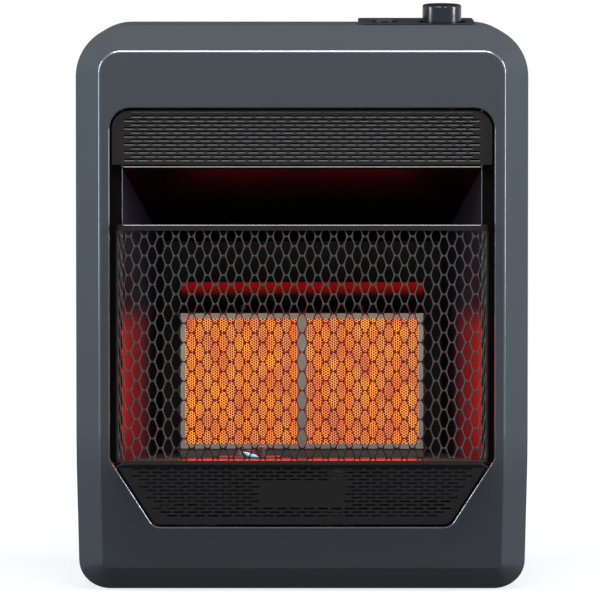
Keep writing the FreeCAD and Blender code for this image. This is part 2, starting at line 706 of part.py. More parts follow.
def slot_wire(x, z, depth):
    """Outline of one slot with round ends."""
    reach = (SLOT_LENGTH - SLOT_WIDTH) / 2
    half = SLOT_WIDTH / 2
    low_left, high_left = at(x - reach, depth, z - half), at(x - reach, depth, z + half)
    low_right, high_right = at(x + reach, depth, z - half), at(x + reach, depth, z + half)
    top = Part.LineSegment(high_left, high_right)
    right = Part.Arc(high_right, at(x + reach + half, depth, z), low_right)
    bottom = Part.LineSegment(low_right, low_left)
    left = Part.Arc(low_left, at(x - reach - half, depth, z), high_left)
    return Part.Wire([piece.toShape() for piece in (top, right, bottom, left)])


def slot_row(half_room, staggered):
    """Places across of the slots that fit in a row."""
    shift = SLOT_PITCH / 2 if staggered else 0
    reach = int((half_room + SLOT_PITCH) / SLOT_PITCH) + 1
    places = [shift + SLOT_PITCH * index for index in range(-reach, reach + 1)]
    return [x for x in places if abs(x) + SLOT_LENGTH / 2 <= half_room]


def upper_grille():
    """Slotted panel with rounded top corners and a folded edge that seats on the firebox strips."""
    half = OPENING_HALF - GRILLE_GAP
    radius = OPENING_CORNER_RADIUS - GRILLE_GAP

    def outline(inset):
        points = [at(inset - half, GRILLE_SETBACK, GRILLE_TOP - inset),
                  at(half - inset, GRILLE_SETBACK, GRILLE_TOP - inset),
                  at(half - inset, GRILLE_SETBACK, GRILLE_BOTTOM + inset),
                  at(inset - half, GRILLE_SETBACK, GRILLE_BOTTOM + inset)]
        return rounded_face(points, [radius - inset, radius - inset, 0, 0])

    rows = int((UPPER_GRILLE_HEIGHT - SLOT_FIRST_ROW) / SLOT_ROW_PITCH)
    holes = []
    for row in range(rows):
        drop = SLOT_FIRST_ROW + row * SLOT_ROW_PITCH
        short = max(0, radius - drop)
        room = half - radius + math.sqrt(radius ** 2 - short ** 2) - SLOT_EDGE
        holes += [slot_wire(x, GRILLE_TOP - drop, GRILLE_SETBACK) for x in slot_row(room, row % 2)]
    front = holed_sheet(outline(0).OuterWire, holes, Vec(0, GRILLE_SHEET, 0))
    fold = Vec(0, STRIP_FRONT - GRILLE_SETBACK, 0)
    rim = outline(0).extrude(fold).cut(outline(GRILLE_SHEET).extrude(fold))
    return front.fuse(rim)


def lower_grille():
    """Slotted panel on the sloped lower front, with a bare patch and a shelf under the firebox floor."""
    lean = math.atan2(OPENING_FOOT_RUN, OPENING_SHOULDER - OPENING_BOTTOM)
    cosine = math.cos(LOWER_SLOPE)

    def half_at(z):
        edge = OPENING_HALF - max(0, OPENING_SHOULDER - z) * math.tan(lean)
        return min(edge, OPENING_HALF) - GRILLE_GAP / math.cos(lean)

    def flat(x, z):
        return at(x, 0, (z - BEND_HEIGHT) / cosine)

    bottom = OPENING_BOTTOM + GRILLE_GAP
    top_half, bottom_half = half_at(LOWER_GRILLE_TOP), half_at(bottom)
    points = [flat(-top_half, LOWER_GRILLE_TOP), flat(top_half, LOWER_GRILLE_TOP),
              flat(bottom_half, bottom), flat(-bottom_half, bottom)]
    foot = OPENING_FOOT_RADIUS - GRILLE_GAP
    outline = Part.Wire(rounded_edges(points, [0, 0, foot, foot]))
    run = (LOWER_GRILLE_TOP - bottom) / cosine
    rows = int((run - 2 * LOWER_FIRST_ROW) / SLOT_ROW_PITCH)
    holes = []
    for row in range(rows):
        z = LOWER_GRILLE_TOP - (LOWER_FIRST_ROW + row * SLOT_ROW_PITCH) * cosine
        for x in slot_row(half_at(z) - SLOT_EDGE, row % 2):
            bare = BADGE_TOP_ROW <= row <= BADGE_BOTTOM_ROW and abs(x) < BADGE_HALF_WIDTH + SLOT_LENGTH / 2
            if not bare:
                holes.append(slot_wire(x, (z - BEND_HEIGHT) / cosine, 0))
    panel = holed_sheet(outline, holes, Vec(0, GRILLE_SHEET, 0))
    panel.rotate(at(0, 0, 0), Vec(1, 0, 0), math.degrees(LOWER_SLOPE))
    panel.translate(Vec(0, GRILLE_SETBACK / cosine, BEND_HEIGHT))
    start = GRILLE_SETBACK / cosine + (BEND_HEIGHT - LOWER_GRILLE_TOP) * math.tan(LOWER_SLOPE)
    shelf_top = FLOOR_HEIGHT - FIREBOX_SHEET
    shelf = block(-FIREBOX_BACK_HALF, FIREBOX_BACK_HALF, start, start + SHELF_DEPTH,
                  LOWER_GRILLE_TOP - GRILLE_SHEET, shelf_top)
    return panel.fuse(shelf)


def clip_cell(points, u0, u1, z0, z1):
    """Cuts a convex cell to a rectangle."""
    limits = [(0, u0, 1), (0, u1, -1), (1, z0, 1), (1, z1, -1)]
    for axis, limit, sign in limits:
        kept = []
        for index, point in enumerate(points):
            last = points[index - 1]
            inside = sign * (point[axis] - limit) >= 0
            last_inside = sign * (last[axis] - limit) >= 0
            if inside != last_inside:
                share = (limit - last[axis]) / (point[axis] - last[axis])
                kept.append(tuple(a + (b - a) * share for a, b in zip(last, point)))
            if inside:
                kept.append(point)
        points = kept
    return points


def net_panel(u0, u1):
    """Hexagonal mesh between two places along the guard, flat in the front plane, as one holed sheet."""
    z0 = GUARD_BOTTOM - NET_LAP
    z1 = GUARD_TOP - NET_LAP
    half_rise = NET_RISE / 2
    lean_run = NET_PITCH / 2 - NET_KNUCKLE
    side_length = math.hypot(lean_run, half_rise)
    tip = (NET_PITCH - NET_KNUCKLE) / 2 - NET_STRAND / 2 * side_length / half_rise
    flat_level = half_rise - NET_STRAND / 2
    flat_half = tip - lean_run * flat_level / half_rise
    cell = [(tip, 0), (flat_half, flat_level), (-flat_half, flat_level), (-tip, 0),
            (-flat_half, -flat_level), (flat_half, -flat_level)]
    outer = Part.makePolygon([Vec(u0, 0, z0), Vec(u1, 0, z0), Vec(u1, 0, z1), Vec(u0, 0, z1), Vec(u0, 0, z0)])
    holes = []
    for row in range(int(2 * (z1 - z0) / NET_RISE) + 2):
        z = z1 - row * half_rise
        shift = NET_PITCH / 2 * (row % 2)
        first = int((u0 - NET_PITCH) / NET_PITCH)
        last = int((u1 + NET_PITCH) / NET_PITCH)
        for column in range(first, last + 1):
            u = column * NET_PITCH + shift
            points = clip_cell([(u + a, z + b) for a, b in cell], u0 + NET_BORDER, u1 - NET_BORDER,
                               z0 + NET_BORDER, z1 - NET_BORDER)
            spread = [max(values) - min(values) for values in zip(*points)] or [0]
            if len(points) > 2 and min(spread) > NET_STRAND:
                corners = [Vec(a, 0, b) for a, b in points]
                holes.append(Part.makePolygon(corners + corners[:1]))
    return holed_sheet(outer, holes, Vec(0, NET_SHEET, 0))


def guard_side_run():
    """Length and heading of the guard's side, in plan."""
    out = GUARD_REAR_HALF - GUARD_FRONT_HALF
    back = GUARD_PROUD + STRIP_FRONT
    return math.hypot(out, back), math.degrees(math.atan2(back, out))


def guard_net_front():
    """Front of the mesh, just behind the rails."""
    net = net_panel(-GUARD_FRONT_HALF + GUARD_RAIL_SHEET, GUARD_FRONT_HALF - GUARD_RAIL_SHEET)
    net.translate(at(0, GUARD_RAIL_SHEET - GUARD_PROUD, 0))
    return net


def guard_net_side(sign):
    """One flared side of the mesh, inside the side rails."""
    length, heading = guard_side_run()
    start = GUARD_RAIL_SHEET + NET_SHEET
    net = net_panel(GUARD_FRONT_HALF + start, GUARD_FRONT_HALF + length - 2 * GUARD_ROD_RADIUS - NET_SHEET)
    net.translate(Vec(-GUARD_FRONT_HALF, GUARD_RAIL_SHEET, 0))
    net.rotate(Vec(0, 0, 0), Vec(0, 0, 1), heading)
    net.translate(at(GUARD_FRONT_HALF, -GUARD_PROUD, 0))
    return net if sign > 0 else net.mirror(Vec(0, 0, 0), Vec(1, 0, 0))


def guard_band(z0, z1):
    """A rail that follows the guard's front and both flared sides."""
    outer = [at(-GUARD_REAR_HALF, STRIP_FRONT, z0), at(-GUARD_FRONT_HALF, -GUARD_PROUD, z0),
             at(GUARD_FRONT_HALF, -GUARD_PROUD, z0), at(GUARD_REAR_HALF, STRIP_FRONT, z0)]
    length, heading = guard_side_run()
    across = GUARD_RAIL_SHEET / math.sin(math.radians(heading))
    corner = GUARD_RAIL_SHEET * math.tan(math.radians(heading) / 2)
    inner_depth = GUARD_RAIL_SHEET - GUARD_PROUD
    inner = [at(GUARD_REAR_HALF - across, STRIP_FRONT, z0), at(GUARD_FRONT_HALF - corner, inner_depth, z0),
             at(corner - GUARD_FRONT_HALF, inner_depth, z0), at(across - GUARD_REAR_HALF, STRIP_FRONT, z0)]
    return plate(outer + inner, Vec(0, 0, z1 - z0))


def guard_frame():
    """Top and bottom rails, two rear rods and the sloping apron at the foot."""
    frame = guard_band(GUARD_TOP - GUARD_RAIL_HEIGHT, GUARD_TOP)
    frame = frame.fuse(guard_band(GUARD_BOTTOM - GUARD_FOOT_HEIGHT, GUARD_BOTTOM))
    level = GUARD_BOTTOM - GUARD_FOOT_HEIGHT
    fall = APRON_DROP / (APRON_BACK + GUARD_PROUD)
    brow = level + fall * GUARD_RAIL_SHEET
    for sign in (-1, 1):
        x = sign * (GUARD_REAR_HALF - GUARD_ROD_RADIUS)
        frame = frame.fuse(upright(x, STRIP_FRONT - GUARD_ROD_RADIUS, level, GUARD_TOP, GUARD_ROD_RADIUS))
    apron = plate([at(-GUARD_FRONT_HALF, -GUARD_PROUD, brow), at(GUARD_FRONT_HALF, -GUARD_PROUD, brow),
                   at(GUARD_REAR_HALF, APRON_BACK, brow - APRON_DROP),
                   at(-GUARD_REAR_HALF, APRON_BACK, brow - APRON_DROP)], Vec(0, 0, -GUARD_RAIL_SHEET))
    return frame.fuse(apron).removeSplitter()


def hood_level(depth):
    """Height of the hood's underside at a depth."""
    return HOOD_FRONT_LEVEL - HOOD_DROP * (depth - CHASSIS_FRONT) / FIREBOX_DEPTH


def hood():
    """Sloping plate above the fire with a rolled front lip."""
    points = [at(-FIREBOX_HALF, CHASSIS_FRONT, HOOD_FRONT_LEVEL),
              at(FIREBOX_HALF, CHASSIS_FRONT, HOOD_FRONT_LEVEL),
              at(FIREBOX_BACK_HALF, FIREBOX_BACK, HOOD_BACK_LEVEL),
              at(-FIREBOX_BACK_HALF, FIREBOX_BACK, HOOD_BACK_LEVEL)]
    sheet = plate(points, Vec(0, 0, FIREBOX_SHEET))
    lip_half = FIREBOX_HALF - HOOD_LIP_INSET
    return sheet.fuse(crosswise(-lip_half, lip_half, CHASSIS_FRONT, HOOD_FRONT_LEVEL, HOOD_LIP_RADIUS))


def firebox_wall(sign):
    """Splayed reflector with a front strip that is fixed to the rear box."""
    low = FLOOR_HEIGHT - FIREBOX_SHEET
    splay = math.atan2(FIREBOX_HALF - FIREBOX_BACK_HALF, FIREBOX_DEPTH)
    front_half = FIREBOX_HALF + FIREBOX_SHEET * math.tan(splay)
    points = [at(front_half, STRIP_FRONT, low), at(FIREBOX_BACK_HALF, FIREBOX_BACK, low),
              at(FIREBOX_BACK_HALF, FIREBOX_BACK, HOOD_BACK_LEVEL),
              at(front_half, STRIP_FRONT, HOOD_FRONT_LEVEL)]
    outward = Vec(math.cos(splay), math.sin(splay), 0) * FIREBOX_SHEET
    reflector = plate(points, outward)
    near, far = CHASSIS_FRONT - OVERRUN, FIREBOX_BACK + OVERRUN
    hood_cut = plate([at(0, near, hood_level(near) - SEAM), at(0, far, hood_level(far) - SEAM),
                      at(0, far, CASE_HEIGHT), at(0, near, CASE_HEIGHT)], Vec(CASE_HALF, 0, 0))
    reflector = reflector.cut(hood_cut)
    strip = block(FIREBOX_HALF, CHASSIS_HALF, STRIP_FRONT, CHASSIS_FRONT, low, OPENING_TOP + FACE_STRIP_RISE)
    wall = reflector.fuse(strip)
    return wall if sign > 0 else wall.mirror(Vec(0, 0, 0), Vec(1, 0, 0))


def firebox_floor():
    """Level tray under the fire, cut for the pilot group and the mixing tube."""
    low = FLOOR_HEIGHT - FIREBOX_SHEET
    points = [at(-FIREBOX_HALF, CHASSIS_FRONT, low), at(FIREBOX_HALF, CHASSIS_FRONT, low),
              at(FIREBOX_BACK_HALF, FIREBOX_BACK, low), at(-FIREBOX_BACK_HALF, FIREBOX_BACK, low)]
    tray = plate(points, Vec(0, 0, FIREBOX_SHEET))
    reach = PILOT_PITCH + PILOT_RADIUS + PILOT_HOLE_MARGIN
    slot = block(PILOT_X - reach, PILOT_X + reach, PILOT_DEPTH - PILOT_RADIUS - PILOT_HOLE_MARGIN,
                 PILOT_DEPTH + PILOT_RADIUS + PILOT_HOLE_MARGIN, low - OVERRUN, FLOOR_HEIGHT + OVERRUN)
    tube_hole = upright(VENTURI_X, VENTURI_DEPTH, low - OVERRUN, FLOOR_HEIGHT + OVERRUN,
                        VENTURI_TOP_RADIUS + SEAM)
    return tray.cut([slot, tube_hole])


def burner_box():
    """Open-fronted mixing chamber with a hole for the mixing tube."""
    outer = block(-BURNER_HALF, BURNER_HALF, PLAQUE_FRONT, BURNER_BACK, BURNER_BOTTOM, BURNER_TOP)
    inner = block(BURNER_SHEET - BURNER_HALF, BURNER_HALF - BURNER_SHEET, PLAQUE_FRONT - OVERRUN,
                  BURNER_BACK - BURNER_SHEET, BURNER_BOTTOM + BURNER_SHEET, BURNER_TOP - BURNER_SHEET)
    hole = upright(VENTURI_X, VENTURI_DEPTH, BURNER_BOTTOM - OVERRUN, BURNER_BOTTOM + OVERRUN,
                   VENTURI_TOP_RADIUS - VENTURI_WALL)
    ledge_front = PLAQUE_FRONT + PLAQUE_THICK
    middle = block(-PLAQUE_GAP / 2, PLAQUE_GAP / 2, PLAQUE_FRONT, ledge_front, BURNER_BOTTOM, BURNER_TOP)
    return outer.cut([inner, hole]).fuse(middle)


def plaque_outline(sign, grow, depth0, depth1):
    """A block of the plaque's outline, grown on every side."""
    x = sign * PLAQUE_X
    return block(x - PLAQUE_WIDTH / 2 - grow, x + PLAQUE_WIDTH / 2 + grow, depth0, depth1,
                 PLAQUE_BOTTOM - grow, PLAQUE_BOTTOM + PLAQUE_HEIGHT + grow)


def burner_retainer():
    """Front frame with two windows that holds the plaques in."""
    frame = block(-BURNER_HALF, BURNER_HALF, BURNER_FRONT, PLAQUE_FRONT, BURNER_BOTTOM, BURNER_TOP)
    windows = [plaque_outline(sign, -WINDOW_LIP, BURNER_FRONT - OVERRUN, PLAQUE_FRONT + OVERRUN)
               for sign in (-1, 1)]
    return frame.cut(windows)


def plaque(sign):
    """Ceramic radiant plate."""
    return plaque_outline(sign, 0, PLAQUE_FRONT, PLAQUE_FRONT + PLAQUE_THICK)


def gasket(sign):
    """Fibre ring round a plaque."""
    ring = plaque_outline(sign, GASKET_WALL, PLAQUE_FRONT, PLAQUE_FRONT + PLAQUE_THICK)
    return ring.cut(plaque_outline(sign, 0, PLAQUE_FRONT - OVERRUN, PLAQUE_FRONT + PLAQUE_THICK + OVERRUN))


def burner_rail():
    """Channel that carries the burner on the firebox floor."""
    outer = block(-BURNER_HALF, BURNER_HALF, PLAQUE_FRONT, BURNER_BACK, FLOOR_HEIGHT, BURNER_BOTTOM)
    inner = block(-BURNER_HALF - OVERRUN, BURNER_HALF + OVERRUN, PLAQUE_FRONT + RAIL_SHEET,
                  BURNER_BACK - RAIL_SHEET, FLOOR_HEIGHT - OVERRUN, BURNER_BOTTOM - RAIL_SHEET)
    hole = upright(VENTURI_X, VENTURI_DEPTH, FLOOR_HEIGHT, BURNER_BOTTOM + OVERRUN, VENTURI_TOP_RADIUS + SEAM)
    return outer.cut([inner, hole])


def burner_visor():
    """Strip that stands on the burner and leans out over the plaques."""
    foot = PLAQUE_FRONT + VISOR_DEPTH
    knee = BURNER_TOP + VISOR_STAND
    tip = foot - VISOR_SPAN
    brow = knee + VISOR_SPAN
    lean = VISOR_SHEET * math.sqrt(2)
    profile = [(foot, BURNER_TOP), (foot, knee), (tip, brow), (tip, brow + VISOR_LIP),
               (tip + VISOR_SHEET, brow + VISOR_LIP), (tip + VISOR_SHEET, brow + lean - VISOR_SHEET),
               (foot + VISOR_SHEET, knee + lean - VISOR_SHEET), (foot + VISOR_SHEET, BURNER_TOP)]
    return plate([at(-BURNER_HALF, depth, z) for depth, z in profile], Vec(2 * BURNER_HALF, 0, 0))


def visor_screws():
    """Two small screws on the front of the visor's stand."""
    face = PLAQUE_FRONT + VISOR_DEPTH
    level = BURNER_TOP + VISOR_STAND / 2
    front = face - VISOR_SCREW_HEIGHT
    heads = [lengthwise(sign * VISOR_SCREW_SPACING / 2, front, face, level, VISOR_SCREW_RADIUS)
             for sign in (-1, 1)]
    return Part.Compound(heads)


def venturi():
    """Mixing tube with a bell mouth, a throat and a wider top that opens into the burner."""
    low, high = VENTURI_BOTTOM, BURNER_BOTTOM
    bell = low + VENTURI_BELL_HEIGHT
    throat = low + VENTURI_THROAT_HEIGHT
    outer = [(VENTURI_BELL_RADIUS, low), (VENTURI_THROAT_RADIUS, bell), (VENTURI_THROAT_RADIUS, throat),
             (VENTURI_TOP_RADIUS, FLOOR_HEIGHT - RAIL_HEIGHT), (VENTURI_TOP_RADIUS, high)]
    inner = [(radius - VENTURI_WALL, z) for radius, z in reversed(outer)]
    points = [at(VENTURI_X + radius, VENTURI_DEPTH, z) for radius, z in outer + inner]
    face = Part.Face(Part.makePolygon(points + points[:1]))
    return face.revolve(at(VENTURI_X, VENTURI_DEPTH, 0), Vec(0, 0, 1), 360)


def air_shutter():
    """Cup with four windows round the bell mouth, carried on the injector."""
    top = VENTURI_BOTTOM + SHUTTER_LAP
    low = top - SHUTTER_HEIGHT
    inner = VENTURI_BELL_RADIUS + SHUTTER_GAP
    outer = inner + SHUTTER_WALL
    cup = upright(VENTURI_X, VENTURI_DEPTH, low, top, outer)
    hollow = upright(VENTURI_X, VENTURI_DEPTH, low + SHUTTER_WALL, top + OVERRUN, inner)
    hole = upright(VENTURI_X, VENTURI_DEPTH, low - OVERRUN, top, INJECTOR_RADIUS + INJECTOR_GAP)
    half = SHUTTER_WINDOW / 2
    window_low = low + 2 * SHUTTER_WALL
    window_high = VENTURI_BOTTOM - SHUTTER_WALL
    windows = [block(VENTURI_X - half, VENTURI_X + half, VENTURI_DEPTH - outer - OVERRUN,
                     VENTURI_DEPTH + outer + OVERRUN, window_low, window_high),
               block(VENTURI_X - outer - OVERRUN, VENTURI_X + outer + OVERRUN, VENTURI_DEPTH - half,
                     VENTURI_DEPTH + half, window_low, window_high)]
    return cup.cut([hollow, hole] + windows)


def injector_levels():
    """Bottom and top of the injector's body."""
    top = VENTURI_BOTTOM - INJECTOR_BELOW
    return top - INJECTOR_HEIGHT, top


def injector():
    """Brass jet holder with an arm for the gas tube and a fine tip under the mixing tube."""
    low, top = injector_levels()
    body = upright(VENTURI_X, VENTURI_DEPTH, low, top, INJECTOR_RADIUS)
    tip = Part.makeCone(INJECTOR_TIP_RADIUS, INJECTOR_TIP_RADIUS / 2, INJECTOR_TIP_HEIGHT,
                        at(VENTURI_X, VENTURI_DEPTH, top))
    arm = crosswise(VENTURI_X, VENTURI_X + INJECTOR_RADIUS + INJECTOR_ARM, VENTURI_DEPTH,
                    low + INJECTOR_ARM_RADIUS, INJECTOR_ARM_RADIUS)
    return body.fuse([tip, arm])


def pilot_places():
    """Places across of the spark electrode, the pilot burner and the thermocouple, with their radii."""
    return {"electrode": (PILOT_X - PILOT_PITCH, ELECTRODE_RADIUS), "burner": (PILOT_X, PILOT_RADIUS),
            "probe": (PILOT_X + PILOT_PITCH, PROBE_RADIUS)}


def pilot_bracket():
    """Small plate on the firebox floor that carries the pilot group."""
    top = FLOOR_HEIGHT + PILOT_SHEET
    sheet = block(PILOT_X - PILOT_PLATE_WIDTH / 2, PILOT_X + PILOT_PLATE_WIDTH / 2,
                  PILOT_DEPTH - PILOT_PLATE_DEPTH / 2, PILOT_DEPTH + PILOT_PLATE_DEPTH / 2 - PILOT_AHEAD / 4,
                  FLOOR_HEIGHT, top)
    holes = [upright(x, PILOT_DEPTH, FLOOR_HEIGHT - OVERRUN, top + OVERRUN, radius + PILOT_GAP)
             for x, radius in pilot_places().values()]
    return sheet.cut(holes)


def pilot_rod(name, rise):
    """A rod through the pilot plate with a collar that rests on it."""
    x, radius = pilot_places()[name]
    seat = FLOOR_HEIGHT + PILOT_SHEET
    rod = upright(x, PILOT_DEPTH, FLOOR_HEIGHT - PILOT_BELOW, seat + rise, radius)
    return rod.fuse(upright(x, PILOT_DEPTH, seat, seat + PILOT_COLLAR_HEIGHT, radius + PILOT_COLLAR))


def pilot_burner():
    """Pilot head with a port that faces the plaques."""
    head = pilot_rod("burner", PILOT_RISE)
    seat = FLOOR_HEIGHT + PILOT_SHEET
    port = lengthwise(PILOT_X, PILOT_DEPTH, PILOT_DEPTH + PILOT_RADIUS + OVERRUN,
                      seat + PILOT_RISE - PILOT_PORT_RADIUS, PILOT_PORT_RADIUS)
    return head.cut(port)


def spark_electrode():
    """Ceramic rod with a bent wire that points at the pilot."""
    x = pilot_places()["electrode"][0]
    top = FLOOR_HEIGHT + PILOT_SHEET + ELECTRODE_RISE
    wire = tube([at(x, PILOT_DEPTH, top), at(x, PILOT_DEPTH, top + ELECTRODE_WIRE_RISE),
                 at(x + ELECTRODE_WIRE_REACH, PILOT_DEPTH, top + ELECTRODE_WIRE_RISE)],
                ELECTRODE_WIRE_RADIUS, 2 * ELECTRODE_WIRE_RADIUS)
    return pilot_rod("electrode", ELECTRODE_RISE).fuse(wire)


def regulator():
    """Gas regulator: a round body with a dome, an inlet boss to the rear and an outlet boss to the right."""
    low = REGULATOR_HEIGHT - REGULATOR_BODY / 2
    high = REGULATOR_HEIGHT + REGULATOR_BODY / 2
    body = upright(REGULATOR_X, REGULATOR_DEPTH, low, high, REGULATOR_RADIUS)
    dome = upright(REGULATOR_X, REGULATOR_DEPTH, high, high + REGULATOR_DOME, REGULATOR_DOME_RADIUS)
    brim = [edge for edge in dome.Edges if edge.BoundBox.ZMin > high]
    dome = dome.makeChamfer(REGULATOR_DOME / 3, brim[:1])
    back = lengthwise(REGULATOR_X, REGULATOR_DEPTH, REGULATOR_DEPTH + REGULATOR_BOSS_REACH, REGULATOR_HEIGHT,
                      REGULATOR_BOSS)
    side = crosswise(REGULATOR_X, REGULATOR_X + REGULATOR_BOSS_REACH, REGULATOR_DEPTH, REGULATOR_HEIGHT,
                     REGULATOR_BOSS)
    return body.fuse([dome, back, side])


def regulator_bracket():
    """Channel between the base and the regulator."""
    low = PAD_HEIGHT + CHASSIS_SHEET
    high = REGULATOR_HEIGHT - REGULATOR_BODY / 2
    half = REGULATOR_BRACKET_WIDTH / 2
    front = REGULATOR_DEPTH - REGULATOR_BRACKET_DEPTH / 2
    back = REGULATOR_DEPTH + REGULATOR_BRACKET_DEPTH / 2
    outer = block(REGULATOR_X - half, REGULATOR_X + half, front, back, low, high)
    wall = REGULATOR_BRACKET_SHEET
    return outer.cut(block(REGULATOR_X - half + wall, REGULATOR_X + half - wall, front - OVERRUN,
                           back + OVERRUN, low - OVERRUN, high - wall))


def inlet_fitting():
    """Hexagonal brass fitting with a threaded bore, open to the rear."""
    start = REGULATOR_DEPTH + REGULATOR_BOSS_REACH
    end = CASE_DEPTH - INLET_RECESS
    corners = [at(REGULATOR_X + INLET_RADIUS * math.cos(math.radians(60 * turn)), start,
                  REGULATOR_HEIGHT + INLET_RADIUS * math.sin(math.radians(60 * turn))) for turn in range(6)]
    body = plate(corners, Vec(0, end - start, 0))
    return body.cut(lengthwise(REGULATOR_X, end - INLET_BORE_DEPTH, end + OVERRUN, REGULATOR_HEIGHT,
                               INLET_BORE_RADIUS))


def control_console():
    """Tilted plate on top of the casing with a well for the knob and one for the button."""
    front = -KNOB_FROM_FRONT
    right = KNOB_FROM_RIGHT
    corners = [Vec(right - CONSOLE_WIDTH, front, 0), Vec(right, front, 0),
               Vec(right, front + CONSOLE_DEPTH, 0), Vec(right - CONSOLE_WIDTH, front + CONSOLE_DEPTH, 0)]
    top = rounded_face(corners, [CONSOLE_CORNER] * 4).extrude(Vec(0, 0, -CONSOLE_DEPTH / 2))
    slope = math.tan(TOP_SLOPE)
    wide = CASE_DEPTH
    level = CASE_HEIGHT + CONSOLE_SEAT_GAP
    below = plate([at(0, -OVERRUN, level - OVERRUN * slope), at(0, wide, level + wide * slope),
                   at(0, wide, 0), at(0, -OVERRUN, 0)], Vec(CASE_HALF, 0, 0))
    console = in_console(top).cut(below)
    wells = [(0, KNOB_WELL_RADIUS, STEM_RADIUS + STEM_GAP),
             (-IGNITER_PITCH, BUTTON_WELL_RADIUS, PLUNGER_RADIUS + PLUNGER_GAP)]
    floor = -WELL_DEPTH - WELL_FLOOR
    for x, radius, bore in wells:
        console = console.fuse(in_console(spindle(x, floor, -CONSOLE_LIP / 2, radius + WELL_WALL)))
        console = console.cut(in_console(spindle(x, -WELL_DEPTH, OVERRUN, radius)))
        console = console.cut(in_console(spindle(x, floor - OVERRUN, OVERRUN, bore)))
    return console.removeSplitter()


def control_knob():
    """Fluted knob with a chamfered top, a pointer groove and a blind bore for the stem."""
    body = spindle(0, -KNOB_SKIRT, KNOB_RISE, KNOB_RADIUS)
    brim = [edge for edge in body.Edges if edge.BoundBox.ZMin > KNOB_RISE / 2]
    body = body.makeChamfer(KNOB_CHAMFER, brim[:1])
    cuts = [spindle(0, -KNOB_SKIRT - OVERRUN, STEM_IN_KNOB + PRESS_GAP, STEM_RADIUS + PRESS_GAP)]
    place = KNOB_RADIUS + KNOB_FLUTE_RADIUS - KNOB_FLUTE_DEPTH
    for flute in range(KNOB_FLUTES):
        turn = 2 * math.pi * flute / KNOB_FLUTES
        foot = Vec(place * math.cos(turn), place * math.sin(turn), -KNOB_SKIRT - OVERRUN)
        cuts.append(Part.makeCylinder(KNOB_FLUTE_RADIUS, KNOB_RISE + KNOB_SKIRT + 2 * OVERRUN, foot))
    cuts.append(Part.makeBox(KNOB_FLUTE_RADIUS, KNOB_RADIUS, KNOB_FLUTE_RADIUS,
                             Vec(-KNOB_FLUTE_RADIUS / 2, -KNOB_RADIUS, KNOB_RISE - KNOB_FLUTE_RADIUS / 2)))
    return in_console(body.cut(cuts))


def valve_stem():
    """Stem from the knob down into the valve."""
    return in_console(spindle(0, STEM_END, STEM_IN_KNOB, STEM_RADIUS))


def spring_seat():
    """Washer that rides down with the stem and presses the return spring."""
    ring = spindle(0, SEAT_TOP - SEAT_SHEET, SEAT_TOP, SEAT_RADIUS)
    return in_console(ring.cut(spindle(0, SEAT_TOP - SEAT_SHEET - OVERRUN, SEAT_TOP + OVERRUN,
                                       STEM_RADIUS + SEAM)))


def valve_spring():
    """Return spring under the seat."""
    return in_console(coil(0, SPRING_FLOOR + SPRING_END_GAP, SEAT_TOP - SEAT_SHEET - SPRING_END_GAP,
                           VALVE_SPRING_RADIUS, VALVE_SPRING_WIRE, VALVE_SPRING_TURNS))


def gas_valve():
    """Valve block with a boss under the bracket, a spring cavity and a bore for the stem."""
    body = Part.makeBox(2 * VALVE_HALF_WIDTH, 2 * VALVE_HALF_DEPTH, VALVE_TOP - VALVE_BOTTOM,
                        Vec(-VALVE_HALF_WIDTH, -VALVE_HALF_DEPTH, VALVE_BOTTOM))
    body = body.fuse(spindle(0, VALVE_TOP, BRACKET_LEVEL, VALVE_BOSS_RADIUS))
    body = body.cut(spindle(0, SPRING_FLOOR, OVERRUN, SPRING_CAVITY_RADIUS))
    return in_console(body.cut(spindle(0, STEM_BORE_END, OVERRUN, STEM_RADIUS + STEM_GAP)))


def valve_ports():
    """Name, place and direction of the valve's ports in the console's frame."""
    return {"supply": (Vec(0, VALVE_HALF_DEPTH, PORT_LEVEL), Vec(0, 1, 0)),
            "main": (Vec(PORT_SIDE, -PORT_SIDE, VALVE_BOTTOM), Vec(0, 0, -1)),
            "pilot": (Vec(PORT_SIDE, PORT_SIDE, VALVE_BOTTOM), Vec(0, 0, -1)),
            "lead": (Vec(-PORT_SIDE, PORT_SIDE, VALVE_BOTTOM), Vec(0, 0, -1))}


def valve_fittings():
    """Brass nuts at the valve's ports."""
    nuts = [in_console(Part.makeCylinder(FITTING_RADIUS, FITTING_LENGTH, place, heading))
            for place, heading in valve_ports().values()]
    return Part.Compound(nuts)


def port_end(name, reach):
    """Point on a port's axis at a distance from the valve, in place."""
    place, heading = valve_ports()[name]
    return CONSOLE.multVec(place + heading * reach)


def valve_bracket():
    """Plate under the console that carries the valve and the igniter and is fixed to the rear box."""
    right = CHASSIS_INNER - KNOB_X
    left = -IGNITER_PITCH - BRACKET_END
    top = BRACKET_LEVEL + BRACKET_SHEET
    sheet = Part.makeBox(right - left, BRACKET_FRONT + BRACKET_BACK, BRACKET_SHEET,
                         Vec(left, -BRACKET_FRONT, BRACKET_LEVEL))
    tab = Part.makeBox(BRACKET_SHEET, BRACKET_FRONT + BRACKET_BACK, BRACKET_TAB,
                       Vec(right - BRACKET_SHEET, -BRACKET_FRONT, top - BRACKET_TAB))
    sheet = sheet.fuse(tab)
    sheet = sheet.cut(spindle(0, BRACKET_LEVEL - OVERRUN, top + OVERRUN, STEM_RADIUS + 2 * STEM_GAP))
    return in_console(sheet.cut(spindle(-IGNITER_PITCH, BRACKET_LEVEL - OVERRUN, top + OVERRUN,
                                        IGNITER_RADIUS + SEAM)))


